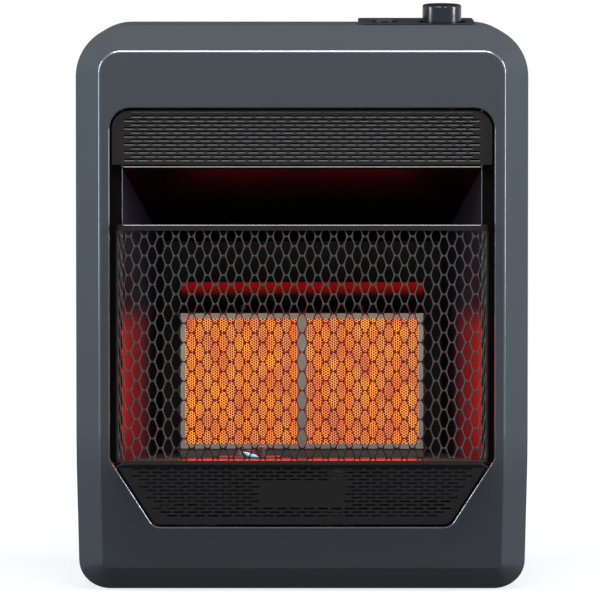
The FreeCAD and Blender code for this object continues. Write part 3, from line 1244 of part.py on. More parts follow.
def valve_screws():
    """Two screws from the bracket into the valve."""
    top = BRACKET_LEVEL + BRACKET_SHEET
    heads = []
    for sign in (-1, 1):
        place = Vec(sign * VALVE_SCREW_PLACE, 0, top)
        heads.append(in_console(Part.makeCylinder(VALVE_SCREW_RADIUS, VALVE_SCREW_HEIGHT, place)))
    return Part.Compound(heads)


def igniter_button():
    """Push button with a plunger into the igniter."""
    cap = spindle(-IGNITER_PITCH, -BUTTON_SKIRT, BUTTON_RISE, BUTTON_RADIUS)
    brim = [edge for edge in cap.Edges if edge.BoundBox.ZMin > BUTTON_RISE / 2]
    cap = cap.makeFillet(BUTTON_EDGE, brim[:1])
    return in_console(cap.fuse(spindle(-IGNITER_PITCH, PLUNGER_END, -BUTTON_SKIRT, PLUNGER_RADIUS)))


def igniter_top():
    """Level of the igniter's upper end, just under the well."""
    return -WELL_DEPTH - WELL_FLOOR - CONSOLE_SEAT_GAP


def igniter_body():
    """Piezo igniter barrel with a bore for the plunger."""
    barrel = spindle(-IGNITER_PITCH, igniter_top() - IGNITER_LENGTH, igniter_top(), IGNITER_RADIUS)
    bore = spindle(-IGNITER_PITCH, IGNITER_BORE_END, OVERRUN, PLUNGER_RADIUS + PLUNGER_GAP)
    return in_console(barrel.cut(bore))


def igniter_spring():
    """Spring under the plunger."""
    return in_console(coil(-IGNITER_PITCH, IGNITER_BORE_END + SPRING_END_GAP, PLUNGER_END - SPRING_END_GAP,
                           IGNITER_SPRING_RADIUS, IGNITER_SPRING_WIRE, IGNITER_SPRING_TURNS))


def igniter_nut():
    """Ring nut under the bracket."""
    ring = spindle(-IGNITER_PITCH, BRACKET_LEVEL - IGNITER_NUT_HEIGHT, BRACKET_LEVEL, IGNITER_NUT_RADIUS)
    return in_console(ring.cut(spindle(-IGNITER_PITCH, BRACKET_LEVEL - OVERRUN - IGNITER_NUT_HEIGHT,
                                       BRACKET_LEVEL + OVERRUN, IGNITER_RADIUS + SEAM)))


def supply_tube():
    """Gas from the regulator, across the bottom and up behind the firebox, to the valve."""
    start = at(REGULATOR_X + REGULATOR_BOSS_REACH, REGULATOR_DEPTH, REGULATOR_HEIGHT)
    end = port_end("supply", FITTING_LENGTH)
    near = port_end("supply", FITTING_LENGTH + 2 * TUBE_BEND)
    x = CHASSIS_INNER - SIDE_CHANNEL
    depth = REGULATOR_DEPTH
    corner = at(end.x, depth, near.z)
    return tube([start, at(x, depth, REGULATOR_HEIGHT), at(x, depth, near.z), corner, near, end],
                SUPPLY_RADIUS, TUBE_BEND)


def main_tube():
    """Gas from the valve down the right side to the injector."""
    start = port_end("main", FITTING_LENGTH)
    drop = port_end("main", FITTING_LENGTH + 2 * TUBE_BEND)
    x = CHASSIS_INNER - SIDE_CHANNEL
    low = injector_levels()[0] + INJECTOR_ARM_RADIUS
    depth = drop.y - FRONT_Y
    end = at(VENTURI_X + INJECTOR_RADIUS + INJECTOR_ARM, VENTURI_DEPTH, low)
    return tube([start, drop, at(x, depth, drop.z), at(x, depth, low), at(x, VENTURI_DEPTH, low), end],
                MAIN_RADIUS, TUBE_BEND)


def side_lead(port, target_x, order, radius):
    """A thin tube from a port under the valve, down the right side and across below the firebox."""
    reach = LEAD_REACH_SHARE * THIN_BEND * order
    start = port_end(port, FITTING_LENGTH)
    drop = port_end(port, FITTING_LENGTH + reach)
    x = CHASSIS_INNER - SIDE_CHANNEL / 2
    depth = PILOT_DEPTH + CHANNEL_PITCH * order
    low = LOWER_RUN_HEIGHT + reach / 2
    top = FLOOR_HEIGHT - PILOT_BELOW
    return tube([start, drop, at(x, depth, drop.z), at(x, depth, low), at(target_x, PILOT_DEPTH, low),
                 at(target_x, PILOT_DEPTH, top)], radius, THIN_BEND)


def igniter_lead():
    """Insulated wire from the igniter, across the top and down the left side to the electrode."""
    start = CONSOLE.multVec(Vec(-IGNITER_PITCH, 0, igniter_top() - IGNITER_LENGTH - 2 * SEAM))
    depth = start.y - FRONT_Y
    level = start.z - 2 * THIN_BEND
    x = -CHASSIS_INNER + SIDE_CHANNEL / 2
    target = pilot_places()["electrode"][0]
    top = FLOOR_HEIGHT - PILOT_BELOW
    low = LOWER_RUN_HEIGHT
    return tube([start, at(start.x, depth, level), at(x, depth, level), at(x, depth, low),
                 at(target, PILOT_DEPTH, low), at(target, PILOT_DEPTH, top)], IGNITER_LEAD_RADIUS, THIN_BEND)


def bulb_place():
    """Place across and depth of the thermostat's bulb."""
    return BULB_FROM_SIDE - CHASSIS_INNER, CHASSIS_FRONT + BULB_BEHIND


def thermostat_bulb():
    """Sensing bulb low on the left side."""
    x, depth = bulb_place()
    return upright(x, depth, BULB_BOTTOM, BULB_BOTTOM + BULB_LENGTH, BULB_RADIUS)


def thermostat_capillary():
    """Fine tube from the back of the valve to the bulb."""
    x, depth = bulb_place()
    start = CONSOLE.multVec(Vec(-VALVE_HALF_WIDTH / 2, VALVE_HALF_DEPTH + SEAM, PORT_LEVEL))
    return tube([start, at(start.x, depth, start.z), at(x, depth, start.z),
                 at(x, depth, BULB_BOTTOM + BULB_LENGTH)], CAPILLARY_RADIUS, THIN_BEND)


def bulb_clips():
    """Two clips that hold the bulb on the side sheet."""
    x, depth = bulb_place()
    outer = BULB_RADIUS + CLIP_GAP + CLIP_WALL
    clips = []
    for share in CLIP_SHARES:
        low = BULB_BOTTOM + share * BULB_LENGTH
        body = block(-CHASSIS_INNER, x + outer, depth - outer, depth + outer, low, low + CLIP_HEIGHT)
        high = low + CLIP_HEIGHT
        clips.append(body.cut(upright(x, depth, low - OVERRUN, high + OVERRUN, BULB_RADIUS + CLIP_GAP)))
    return Part.Compound(clips)


def chassis_base():
    """Bottom sheet of the rear box."""
    toe = BEND_HEIGHT * math.tan(LOWER_SLOPE) + BEVEL + CHASSIS_TOE_GAP
    return block(-CHASSIS_INNER, CHASSIS_INNER, toe, BACK_INNER, PAD_HEIGHT, PAD_HEIGHT + CHASSIS_SHEET)


def chassis_top():
    """Top sheet of the rear box."""
    return block(-CHASSIS_INNER, CHASSIS_INNER, SHELL_DEPTH - CHASSIS_OVERLAP, BACK_INNER,
                 CHASSIS_TOP - CHASSIS_SHEET, CHASSIS_TOP)


def rear_pads():
    """Two rubber pads under the rear of the base."""
    pads = []
    for sign in (-1, 1):
        x = sign * (CHASSIS_HALF - PAD_INSET - PAD_LENGTH / 2)
        pads.append(block(x - PAD_LENGTH / 2, x + PAD_LENGTH / 2, CASE_DEPTH - PAD_INSET / 2 - PAD_DEPTH,
                          CASE_DEPTH - PAD_INSET / 2, 0, PAD_HEIGHT))
    return Part.Compound(pads)


def firebox_back():
    """Rear wall of the firebox."""
    return block(-FIREBOX_BACK_HALF, FIREBOX_BACK_HALF, FIREBOX_BACK, FIREBOX_BACK + FIREBOX_SHEET,
                 FLOOR_HEIGHT - FIREBOX_SHEET, HOOD_BACK_LEVEL + FIREBOX_SHEET)


NODES = {
    "front_casing": front_casing(),
    "chassis_side_left": chassis_side(-1),
    "chassis_side_right": chassis_side(1),
    "chassis_top": chassis_top(),
    "chassis_base": chassis_base(),
    "back_panel": back_panel(),
    "rear_pads": rear_pads(),
    "casing_screws": Part.Compound([pan_screw(x, SHELL_DEPTH, z) for x, z in casing_screw_places()]),
    "back_screws": Part.Compound([pan_screw(x, CASE_DEPTH, z) for x, z in back_screw_places()]),
    "upper_grille": upper_grille(),
    "lower_grille": lower_grille(),
    "guard_frame": guard_frame(),
    "guard_net_front": guard_net_front(),
    "guard_net_left": guard_net_side(-1),
    "guard_net_right": guard_net_side(1),
    "hood": hood(),
    "firebox_wall_left": firebox_wall(-1),
    "firebox_wall_right": firebox_wall(1),
    "firebox_back": firebox_back(),
    "firebox_floor": firebox_floor(),
    "burner_box": burner_box(),
    "burner_retainer": burner_retainer(),
    "plaque_left": plaque(-1),
    "plaque_right": plaque(1),
    "gasket_left": gasket(-1),
    "gasket_right": gasket(1),
    "burner_rail": burner_rail(),
    "burner_visor": burner_visor(),
    "visor_screws": visor_screws(),
    "venturi": venturi(),
    "air_shutter": air_shutter(),
    "injector": injector(),
    "pilot_bracket": pilot_bracket(),
    "pilot_burner": pilot_burner(),
    "spark_electrode": spark_electrode(),
    "thermocouple": pilot_rod("probe", PROBE_RISE),
    "regulator": regulator(),
    "regulator_bracket": regulator_bracket(),
    "inlet_fitting": inlet_fitting(),
    "control_console": control_console(),
    "control_knob": control_knob(),
    "valve_stem": valve_stem(),
    "spring_seat": spring_seat(),
    "valve_spring": valve_spring(),
    "gas_valve": gas_valve(),
    "valve_fittings": valve_fittings(),
    "valve_bracket": valve_bracket(),
    "valve_screws": valve_screws(),
    "igniter_button": igniter_button(),
    "igniter_body": igniter_body(),
    "igniter_spring": igniter_spring(),
    "igniter_nut": igniter_nut(),
    "supply_tube": supply_tube(),
    "main_tube": main_tube(),
    "pilot_tube": side_lead("pilot", pilot_places()["burner"][0], 1, PILOT_TUBE_RADIUS),
    "thermocouple_lead": side_lead("lead", pilot_places()["probe"][0], 2, LEAD_RADIUS),
    "igniter_lead": igniter_lead(),
    "thermostat_bulb": thermostat_bulb(),
    "thermostat_capillary": thermostat_capillary(),
    "bulb_clips": bulb_clips(),
}

os.makedirs("parts", exist_ok=True)
for name, shape in NODES.items():
    shape.exportStep(f"parts/{name}.step")
    print(name, len(shape.Solids), "solid(s)", round(shape.Volume / 1000, 2), "cm3")
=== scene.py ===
# %% [markdown]
# # An infrared gas space heater
# The solids of the heater come in as a fixed frame: every sheet, screw and tube is in its place.
# This lesson gives each of them its finish, and remakes the pieces whose look needs more than a
# plain solid: the pressed front, the wire guard, the sheets round the fire, the return springs and
# the knob. Slot lips and a pilot flame are added, and the plaques are made to glow.

# %% Load the solids
import bpy
import bmesh
import math
from mathutils import Matrix, Vector


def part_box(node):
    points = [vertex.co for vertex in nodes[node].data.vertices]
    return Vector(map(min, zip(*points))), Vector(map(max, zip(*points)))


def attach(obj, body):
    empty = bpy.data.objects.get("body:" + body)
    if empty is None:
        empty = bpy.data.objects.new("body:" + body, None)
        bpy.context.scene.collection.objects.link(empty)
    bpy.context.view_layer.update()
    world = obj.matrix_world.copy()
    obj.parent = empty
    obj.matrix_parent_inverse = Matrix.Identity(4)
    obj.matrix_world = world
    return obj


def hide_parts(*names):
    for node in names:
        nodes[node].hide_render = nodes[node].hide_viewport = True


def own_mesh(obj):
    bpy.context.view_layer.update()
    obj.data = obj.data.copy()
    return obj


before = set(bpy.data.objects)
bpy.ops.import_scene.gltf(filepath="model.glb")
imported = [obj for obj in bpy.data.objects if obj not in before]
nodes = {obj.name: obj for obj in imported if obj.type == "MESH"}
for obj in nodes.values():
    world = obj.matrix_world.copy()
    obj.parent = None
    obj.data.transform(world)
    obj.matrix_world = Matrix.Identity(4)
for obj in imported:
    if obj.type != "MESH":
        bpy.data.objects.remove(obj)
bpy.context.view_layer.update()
MM = 0.001
FRONT_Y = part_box("front_casing")[0][1]
print("solids", len(nodes), "front face at", round(FRONT_Y, 4))

# %% [markdown]
# ## Camera
# The picture was taken with a long lens from about two and a half metres, a little below the top
# of the heater, so the top shows only as a thin dark line and the sides not at all. A long lens
# far away keeps the same frame size as a short one close by, but with almost parallel edges.

# %% Camera
CAMERA_DISTANCE = 2.478
CAMERA_HEIGHT = 0.310
CAMERA_SIDE = -0.0017
CAMERA_PITCH = math.radians(1.43)
CAMERA_LENS = 178.4
SENSOR_WIDTH = 36
VIEW_END = 60
camera_data = bpy.data.cameras.new("camera")
camera_data.lens = CAMERA_LENS
camera_data.sensor_width = SENSOR_WIDTH
camera_data.clip_end = VIEW_END
camera = bpy.data.objects.new("camera", camera_data)
camera.location = (CAMERA_SIDE, FRONT_Y - CAMERA_DISTANCE, CAMERA_HEIGHT)
camera.rotation_euler = (math.pi / 2 - CAMERA_PITCH, 0, 0)
bpy.context.scene.collection.objects.link(camera)
bpy.context.scene.camera = camera
bpy.context.scene.view_settings.view_transform = "Standard"
print("camera at", tuple(round(value, 3) for value in camera.location))

# %% [markdown]
# ## Studio
# A pale floor and a white surround. The surround is white for the camera and for mirrors, but
# gives the object only part of that light, so the dark paint keeps its colour. Close to the heater
# the floor's own white is lower, which leaves room for a soft shadow.

# %% Studio
AMBIENT = 0.25
FLOOR_HALF = 6
NEAR_WHITE = 0.70
NEAR_REACH = 0.45
FAR_WHITE = 0.90
FAR_REACH = 1.60


def seen_mask(tree):
    """One where the camera looks, straight, by a mirror or through glass, and zero elsewhere."""
    path = tree.nodes.new("ShaderNodeLightPath")
    mirrored = tree.nodes.new("ShaderNodeMath")
    mirrored.operation = "MAXIMUM"
    seen = tree.nodes.new("ShaderNodeMath")
    seen.operation = "MAXIMUM"
    tree.links.new(path.outputs["Is Camera Ray"], mirrored.inputs[0])
    tree.links.new(path.outputs["Is Glossy Ray"], mirrored.inputs[1])
    tree.links.new(mirrored.outputs[0], seen.inputs[0])
    tree.links.new(path.outputs["Is Transmission Ray"], seen.inputs[1])
    return seen.outputs[0]


def studio_world():
    world = bpy.data.worlds.new("studio")
    world.use_nodes = True
    tree = world.node_tree
    background = tree.nodes["Background"]
    background.inputs["Color"].default_value = (1, 1, 1, 1)
    strength = tree.nodes.new("ShaderNodeMapRange")
    strength.inputs["To Min"].default_value = AMBIENT
    strength.inputs["To Max"].default_value = 1
    tree.links.new(seen_mask(tree), strength.inputs["Value"])
    tree.links.new(strength.outputs["Result"], background.inputs["Strength"])
    bpy.context.scene.world = world


def flat_sheet(name, half_side, place=(0, 0, 0), turn=0):
    shape = bmesh.new()
    bmesh.ops.create_grid(shape, x_segments=1, y_segments=1, size=half_side)
    placed = Matrix.Translation(place) @ Matrix.Rotation(turn, 4, "X")
    bmesh.ops.transform(shape, matrix=placed, verts=shape.verts)
    mesh = bpy.data.meshes.new(name)
    shape.to_mesh(mesh)
    shape.free()
    sheet = bpy.data.objects.new(name, mesh)
    bpy.context.scene.collection.objects.link(sheet)
    return sheet


def studio_floor():
    floor = flat_sheet("floor", FLOOR_HALF)
    material = bpy.data.materials.new("floor_paper")
    material.use_nodes = True
    tree = material.node_tree
    shader = tree.nodes["Principled BSDF"]
    shader.inputs["Roughness"].default_value = 0.9
    shader.inputs["Specular IOR Level"].default_value = 0.1
    shader.inputs["Emission Color"].default_value = (1, 1, 1, 1)
    noise = tree.nodes.new("ShaderNodeTexNoise")
    noise.inputs["Scale"].default_value = 3
    tint = tree.nodes.new("ShaderNodeMapRange")
    tint.inputs["To Min"].default_value = 0.20
    tint.inputs["To Max"].default_value = 0.22
    place = tree.nodes.new("ShaderNodeTexCoord")
    reach = tree.nodes.new("ShaderNodeVectorMath")
    reach.operation = "LENGTH"
    white = tree.nodes.new("ShaderNodeMapRange")
    white.inputs["From Min"].default_value = NEAR_REACH
    white.inputs["From Max"].default_value = FAR_REACH
    white.inputs["To Min"].default_value = NEAR_WHITE
    white.inputs["To Max"].default_value = FAR_WHITE
    shown = tree.nodes.new("ShaderNodeMath")
    shown.operation = "MULTIPLY"
    tree.links.new(noise.outputs["Fac"], tint.inputs["Value"])
    tree.links.new(tint.outputs["Result"], shader.inputs["Base Color"])
    tree.links.new(place.outputs["Object"], reach.inputs[0])
    tree.links.new(reach.outputs["Value"], white.inputs["Value"])
    tree.links.new(seen_mask(tree), shown.inputs[0])
    tree.links.new(white.outputs["Result"], shown.inputs[1])
    tree.links.new(shown.outputs[0], shader.inputs["Emission Strength"])
    floor.data.materials.append(material)


studio_world()
studio_floor()
print("floor", 2 * FLOOR_HALF, "m wide in a white surround")

# %% [markdown]
# ## Lamps and cards
# Large soft lamps light the heater: one in front above and one at each side for the bevels. Two
# dark cards stay out of the picture: one behind and above the heater, which the top edge and the
# knob mirror, and a dim grey one under it, which stands for the shadow that the lowest bevel
# mirrors.

# %% Lamps and cards
REAR_CARD_HALF = 1.0
REAR_CARD_PLACE = (0, 1.2, 1.66)
FLOOR_CARD_HALF = 0.21
FLOOR_CARD_PLACE = (0, 0.150, 0.0005)
FLOOR_CARD_GLOW = 0.27
LAMP_AIM = (0, 0, 0.35)
SIDE_SIZE = (0.6, 1.7)
LEFT_PLACE = (-2.5, -0.75, 1.0)
LEFT_POWER = 104
LEFT_TINT = (0.64, 0.82, 1)
RIGHT_PLACE = (2.5, -0.75, 1.0)
RIGHT_POWER = 128
RIGHT_TINT = (0.68, 0.84, 1)
TOP_SIZE = (1.9, 0.7)
TOP_PLACE = (0, -1.25, 2.3)
TOP_POWER = 90
TOP_TINT = (0.94, 0.98, 1)


def softbox(name, place, target, size, power, colour):
    lamp = bpy.data.lights.new(name, "AREA")
    lamp.shape = "RECTANGLE"
    lamp.size, lamp.size_y = size
    lamp.energy = power
    lamp.color = colour
    holder = bpy.data.objects.new(name, lamp)
    holder.location = place
    holder.rotation_euler = (Vector(target) - Vector(place)).to_track_quat("-Z", "Y").to_euler()
    bpy.context.scene.collection.objects.link(holder)


def dark_card(name, half_side, place, turn, glow):
    card = flat_sheet(name, half_side, place, turn)
    card.visible_camera = False
    card.visible_shadow = False
    material = bpy.data.materials.new("card_felt")
    material.use_nodes = True
    tree = material.node_tree
    shader = tree.nodes["Principled BSDF"]
    shader.inputs["Roughness"].default_value = 1
    shader.inputs["Specular IOR Level"].default_value = 0
    shader.inputs["Emission Color"].default_value = (1, 1, 1, 1)
    shader.inputs["Emission Strength"].default_value = glow
    noise = tree.nodes.new("ShaderNodeTexNoise")
    noise.inputs["Scale"].default_value = 5
    tint = tree.nodes.new("ShaderNodeMapRange")
    tint.inputs["To Min"].default_value = 0.010
    tint.inputs["To Max"].default_value = 0.020
    tree.links.new(noise.outputs["Fac"], tint.inputs["Value"])
    tree.links.new(tint.outputs["Result"], shader.inputs["Base Color"])
    card.data.materials.append(material)


dark_card("rear_card", REAR_CARD_HALF, REAR_CARD_PLACE, math.pi / 2, 0)
dark_card("floor_card", FLOOR_CARD_HALF, FLOOR_CARD_PLACE, 0, FLOOR_CARD_GLOW)
softbox("left_strip", LEFT_PLACE, LAMP_AIM, SIDE_SIZE, LEFT_POWER, LEFT_TINT)
softbox("right_strip", RIGHT_PLACE, LAMP_AIM, SIDE_SIZE, RIGHT_POWER, RIGHT_TINT)
softbox("top_strip", TOP_PLACE, LAMP_AIM, TOP_SIZE, TOP_POWER, TOP_TINT)

# %% [markdown]
# ## Shared effects
# Two small node groups serve every finish. `mottle` blends two tones by soft clouds and gives the
# gloss a slight unevenness. `grain` is a height for the fine texture of paint, plastic or cast
# metal.

# %% Shared effects


def new_group(name, inputs, outputs):
    group = bpy.data.node_groups.new(name, "ShaderNodeTree")
    for title, kind, value in inputs:
        socket = group.interface.new_socket(name=title, in_out="INPUT", socket_type=kind)
        if value is not None:
            socket.default_value = value
    for title, kind in outputs:
        group.interface.new_socket(name=title, in_out="OUTPUT", socket_type=kind)
    return group, group.nodes.new("NodeGroupInput"), group.nodes.new("NodeGroupOutput")


def mottle_group():
    group, given, result = new_group(
        "mottle",
        [("Vector", "NodeSocketVector", None), ("Scale", "NodeSocketFloat", 40.0),
         ("Light", "NodeSocketColor", (1, 1, 1, 1)), ("Dark", "NodeSocketColor", (0, 0, 0, 1)),
         ("Smooth", "NodeSocketFloat", 0.3), ("Rough", "NodeSocketFloat", 0.4)],
        [("Color", "NodeSocketColor"), ("Roughness", "NodeSocketFloat")])
    clouds = group.nodes.new("ShaderNodeTexNoise")
    clouds.inputs["Detail"].default_value = 4
    blend = group.nodes.new("ShaderNodeMix")
    blend.data_type = "RGBA"
    gloss = group.nodes.new("ShaderNodeMapRange")
    link = group.links.new
    link(given.outputs["Vector"], clouds.inputs["Vector"])
    link(given.outputs["Scale"], clouds.inputs["Scale"])
    link(clouds.outputs["Fac"], blend.inputs["Factor"])
    link(given.outputs["Dark"], blend.inputs["A"])
    link(given.outputs["Light"], blend.inputs["B"])
    link(clouds.outputs["Fac"], gloss.inputs["Value"])
    link(given.outputs["Smooth"], gloss.inputs["To Min"])
    link(given.outputs["Rough"], gloss.inputs["To Max"])
    link(blend.outputs["Result"], result.inputs["Color"])
    link(gloss.outputs["Result"], result.inputs["Roughness"])
    return group


def grain_group():
    group, given, result = new_group(
        "grain",
        [("Vector", "NodeSocketVector", None), ("Scale", "NodeSocketFloat", 900.0)],
        [("Height", "NodeSocketFloat")])
    fine = group.nodes.new("ShaderNodeTexNoise")
    fine.inputs["Detail"].default_value = 2
    group.links.new(given.outputs["Vector"], fine.inputs["Vector"])
    group.links.new(given.outputs["Scale"], fine.inputs["Scale"])
    group.links.new(fine.outputs["Fac"], result.inputs["Height"])
    return group


MOTTLE = mottle_group()
GRAIN = grain_group()
print("groups", [group.name for group in bpy.data.node_groups])

# %% [markdown]
# ## Lattice of holes
# The group `dot_lattice` gives the distance to the nearest point of a staggered grid, counted in
# pitches, for the perforated ceramic. Two plain grids, shifted by half a cell, make the stagger.

# %% Lattice of holes


def dot_lattice_group():
    group, given, result = new_group(
        "dot_lattice",
        [("Vector", "NodeSocketVector", None), ("Pitch", "NodeSocketFloat", MM)],
        [("Distance", "NodeSocketFloat")])
    link = group.links.new
    row_share = math.sqrt(3)
    scaled = group.nodes.new("ShaderNodeVectorMath")
    scaled.operation = "DIVIDE"
    squeezed = group.nodes.new("ShaderNodeVectorMath")
    squeezed.operation = "MULTIPLY"
    squeezed.inputs[1].default_value = (1 / row_share, 0, 1)
    link(given.outputs["Vector"], scaled.inputs[0])
    link(given.outputs["Pitch"], scaled.inputs[1])
    link(scaled.outputs["Vector"], squeezed.inputs[0])
    lengths = []
    for shift in (0.0, 0.5):
        moved = group.nodes.new("ShaderNodeVectorMath")
        moved.operation = "ADD"
        moved.inputs[1].default_value = (shift, 0, shift)
        cell = group.nodes.new("ShaderNodeVectorMath")
        cell.operation = "FRACTION"
        centred = group.nodes.new("ShaderNodeVectorMath")
        centred.operation = "SUBTRACT"
        centred.inputs[1].default_value = (0.5, 0, 0.5)
        back = group.nodes.new("ShaderNodeVectorMath")
        back.operation = "MULTIPLY"
        back.inputs[1].default_value = (row_share, 0, 1)
        length = group.nodes.new("ShaderNodeVectorMath")
        length.operation = "LENGTH"
        link(squeezed.outputs["Vector"], moved.inputs[0])
        link(moved.outputs["Vector"], cell.inputs[0])
        link(cell.outputs["Vector"], centred.inputs[0])
        link(centred.outputs["Vector"], back.inputs[0])
        link(back.outputs["Vector"], length.inputs[0])
        lengths.append(length)
    nearest = group.nodes.new("ShaderNodeMath")
    nearest.operation = "MINIMUM"
    link(lengths[0].outputs["Value"], nearest.inputs[0])
    link(lengths[1].outputs["Value"], nearest.inputs[1])
    link(nearest.outputs[0], result.inputs["Distance"])
    return group


DOT_LATTICE = dot_lattice_group()
print("group", DOT_LATTICE.name)

# %% [markdown]
# ## A finish
# Most finishes here differ only in two tones, gloss, metal or not, and the size of their grain,
# so one helper builds them all from the two groups. Numbers that stay the same all over the
# surface sit on the shader's own sockets. A finish may also carry a clear coat on the faces that
# carry the coat mark; the mark's weight is a painted highlight, laid on face by face.

# %% A finish
GRAIN_HEIGHT = 0.4 * MM
COAT_INDEX = 2.4
COAT_ROUGHNESS = 0.15


def place_group(tree, group, **values):
    node = tree.nodes.new("ShaderNodeGroup")
    node.node_tree = group
    for title, value in values.items():
        node.inputs[title].default_value = value
    return node


def finish(name, light, dark, smooth, rough, metal=0.0, specular=0.5, cloud=40.0, grain=900.0,
           depth=0.02, highlight_coated=False):
    """Two tones in soft clouds, with a roughness from smooth to rough and a fine grain."""
    material = bpy.data.materials.new(name)
    material.use_nodes = True
    tree = material.node_tree
    shader = tree.nodes["Principled BSDF"]
    shader.inputs["Metallic"].default_value = metal
    shader.inputs["Specular IOR Level"].default_value = specular
    place = tree.nodes.new("ShaderNodeTexCoord")
    tones = place_group(tree, MOTTLE, Scale=cloud, Light=(*light, 1), Dark=(*dark, 1),
                        Smooth=smooth, Rough=rough)
    fine = place_group(tree, GRAIN, Scale=grain)
    bump = tree.nodes.new("ShaderNodeBump")
    bump.inputs["Strength"].default_value = depth
    bump.inputs["Distance"].default_value = GRAIN_HEIGHT
    link = tree.links.new
    link(place.outputs["Object"], tones.inputs["Vector"])
    link(place.outputs["Object"], fine.inputs["Vector"])
    link(tones.outputs["Color"], shader.inputs["Base Color"])
    link(tones.outputs["Roughness"], shader.inputs["Roughness"])
    link(fine.outputs["Height"], bump.inputs["Height"])
    link(bump.outputs["Normal"], shader.inputs["Normal"])
    # Clear coat by the face mark: its weight is a painted highlight on the chosen faces.
    if highlight_coated:
        shader.inputs["Coat IOR"].default_value = COAT_INDEX
        shader.inputs["Coat Roughness"].default_value = COAT_ROUGHNESS
        highlight_coat = tree.nodes.new("ShaderNodeAttribute")
        highlight_coat.attribute_name = "highlight_coat"
        link(highlight_coat.outputs["Fac"], shader.inputs["Coat Weight"])
    return material


def dress(material, *names):
    for name in names:
        for slot in nodes[name].material_slots:
            slot.material = material
    print(material.name, "on", ", ".join(names))


# %% [markdown]
# ## Casing paint
# The pressed front wears a slate blue-grey powder coat: satin, with a faint orange-peel texture.

# %% Casing paint
CASING_PAINT = finish("casing_paint", (0.037, 0.039, 0.042), (0.032, 0.034, 0.037), 0.28, 0.34,
                      specular=0.10, cloud=9, grain=700, depth=0.10, highlight_coated=True)
CHASSIS_PAINT = finish("chassis_paint", (0.026, 0.028, 0.032), (0.020, 0.022, 0.026), 0.5, 0.6,
                       cloud=14)
dress(CASING_PAINT, "front_casing")
dress(CHASSIS_PAINT, "chassis_side_left", "chassis_side_right", "chassis_top", "chassis_base",
      "back_panel", "valve_bracket", "regulator_bracket")

# %% [markdown]
# ## Rounded front
# A press leaves no knife edges: the ridge between the flat front and the bevel is a little
# rounded and the outer rim much more. A copy of the solid's mesh is merged into one skin, and the
# bevel operator rounds those lines by their own widths. The new faces of the narrow ridge and of
# the lip of the opening get the clear coat's mark as a painted highlight, weighted by where they sit.

# %% Rounded front
MERGE_GAP = 0.01 * MM
FLAT_FOLD = math.radians(0.5)
BEVEL_FOLDS = (25, 75)
RIM_ROUND = 5.0 * MM
RIM_DEPTHS = (8 * MM, 40 * MM)
RIM_STEPS = 5
RIDGE_ROUND = 1.0 * MM
RIDGE_DEPTH = 5 * MM
RIDGE_STEPS = 4
OPENING_ROUND = 1.1 * MM
OPENING_DEPTH = 3 * MM
OPENING_STEPS = 3
FRONT_SHARP = 30
BRIGHT_LIP_TOP = 392 * MM
SIDE_LIP_HIGHLIGHT = 0.3
FOOT_LIP_HIGHLIGHT = 0.8
SIDE_HIGHLIGHT = 0.45
CASE_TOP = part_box("front_casing")[1][2]
BEND_HEIGHT = 116 * MM
LOWER_SLOPE = math.radians(18)


def merged_copy(name):
    """The mesh of a solid as one skin, with flat faces joined."""
    shape = bmesh.new()
    shape.from_mesh(nodes[name].data)
    bmesh.ops.remove_doubles(shape, verts=shape.verts, dist=MERGE_GAP)
    bmesh.ops.dissolve_limit(shape, angle_limit=FLAT_FOLD, verts=shape.verts, edges=shape.edges)
    return shape


def new_piece(name, shape, material, body, *replaced):
    bmesh.ops.recalc_face_normals(shape, faces=shape.faces)
    mesh = bpy.data.meshes.new(name)
    shape.to_mesh(mesh)
    shape.free()
    piece = bpy.data.objects.new(name, mesh)
    bpy.context.scene.collection.objects.link(piece)
    mesh.materials.append(material)
    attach(piece, body)
    if replaced:
        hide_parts(*replaced)
    return piece


def smooth_shading(piece, angle):
    mesh = piece.data
    mesh.shade_smooth()
    mesh.set_sharp_from_angle(angle=math.radians(angle))
    weighted = piece.modifiers.new("flat_faces", "WEIGHTED_NORMAL")
    weighted.keep_sharp = True


def fold_of(edge):
    """Outward fold of an edge in degrees, and zero for inward folds and borders."""
    if len(edge.link_faces) != 2 or not edge.is_convex:
        return 0.0
    return math.degrees(edge.calc_face_angle())


def on_bevel(edge):
    """True for a fold that is neither flat nor square."""
    return BEVEL_FOLDS[0] < fold_of(edge) < BEVEL_FOLDS[1]


def behind_front(edge):
    """How far an edge lies behind the front, which leans back below its bend."""
    middle = (edge.verts[0].co + edge.verts[1].co) / 2
    lean = max(0.0, BEND_HEIGHT - middle.z) * math.tan(LOWER_SLOPE)
    return middle.y - FRONT_Y - lean


def round_edges(shape, edges, width, segments):
    made = bmesh.ops.bevel(shape, geom=edges, offset=width, offset_type="OFFSET", affect="EDGES",
                           segments=segments, profile=0.5, material=-1, clamp_overlap=True)
    return made["faces"]


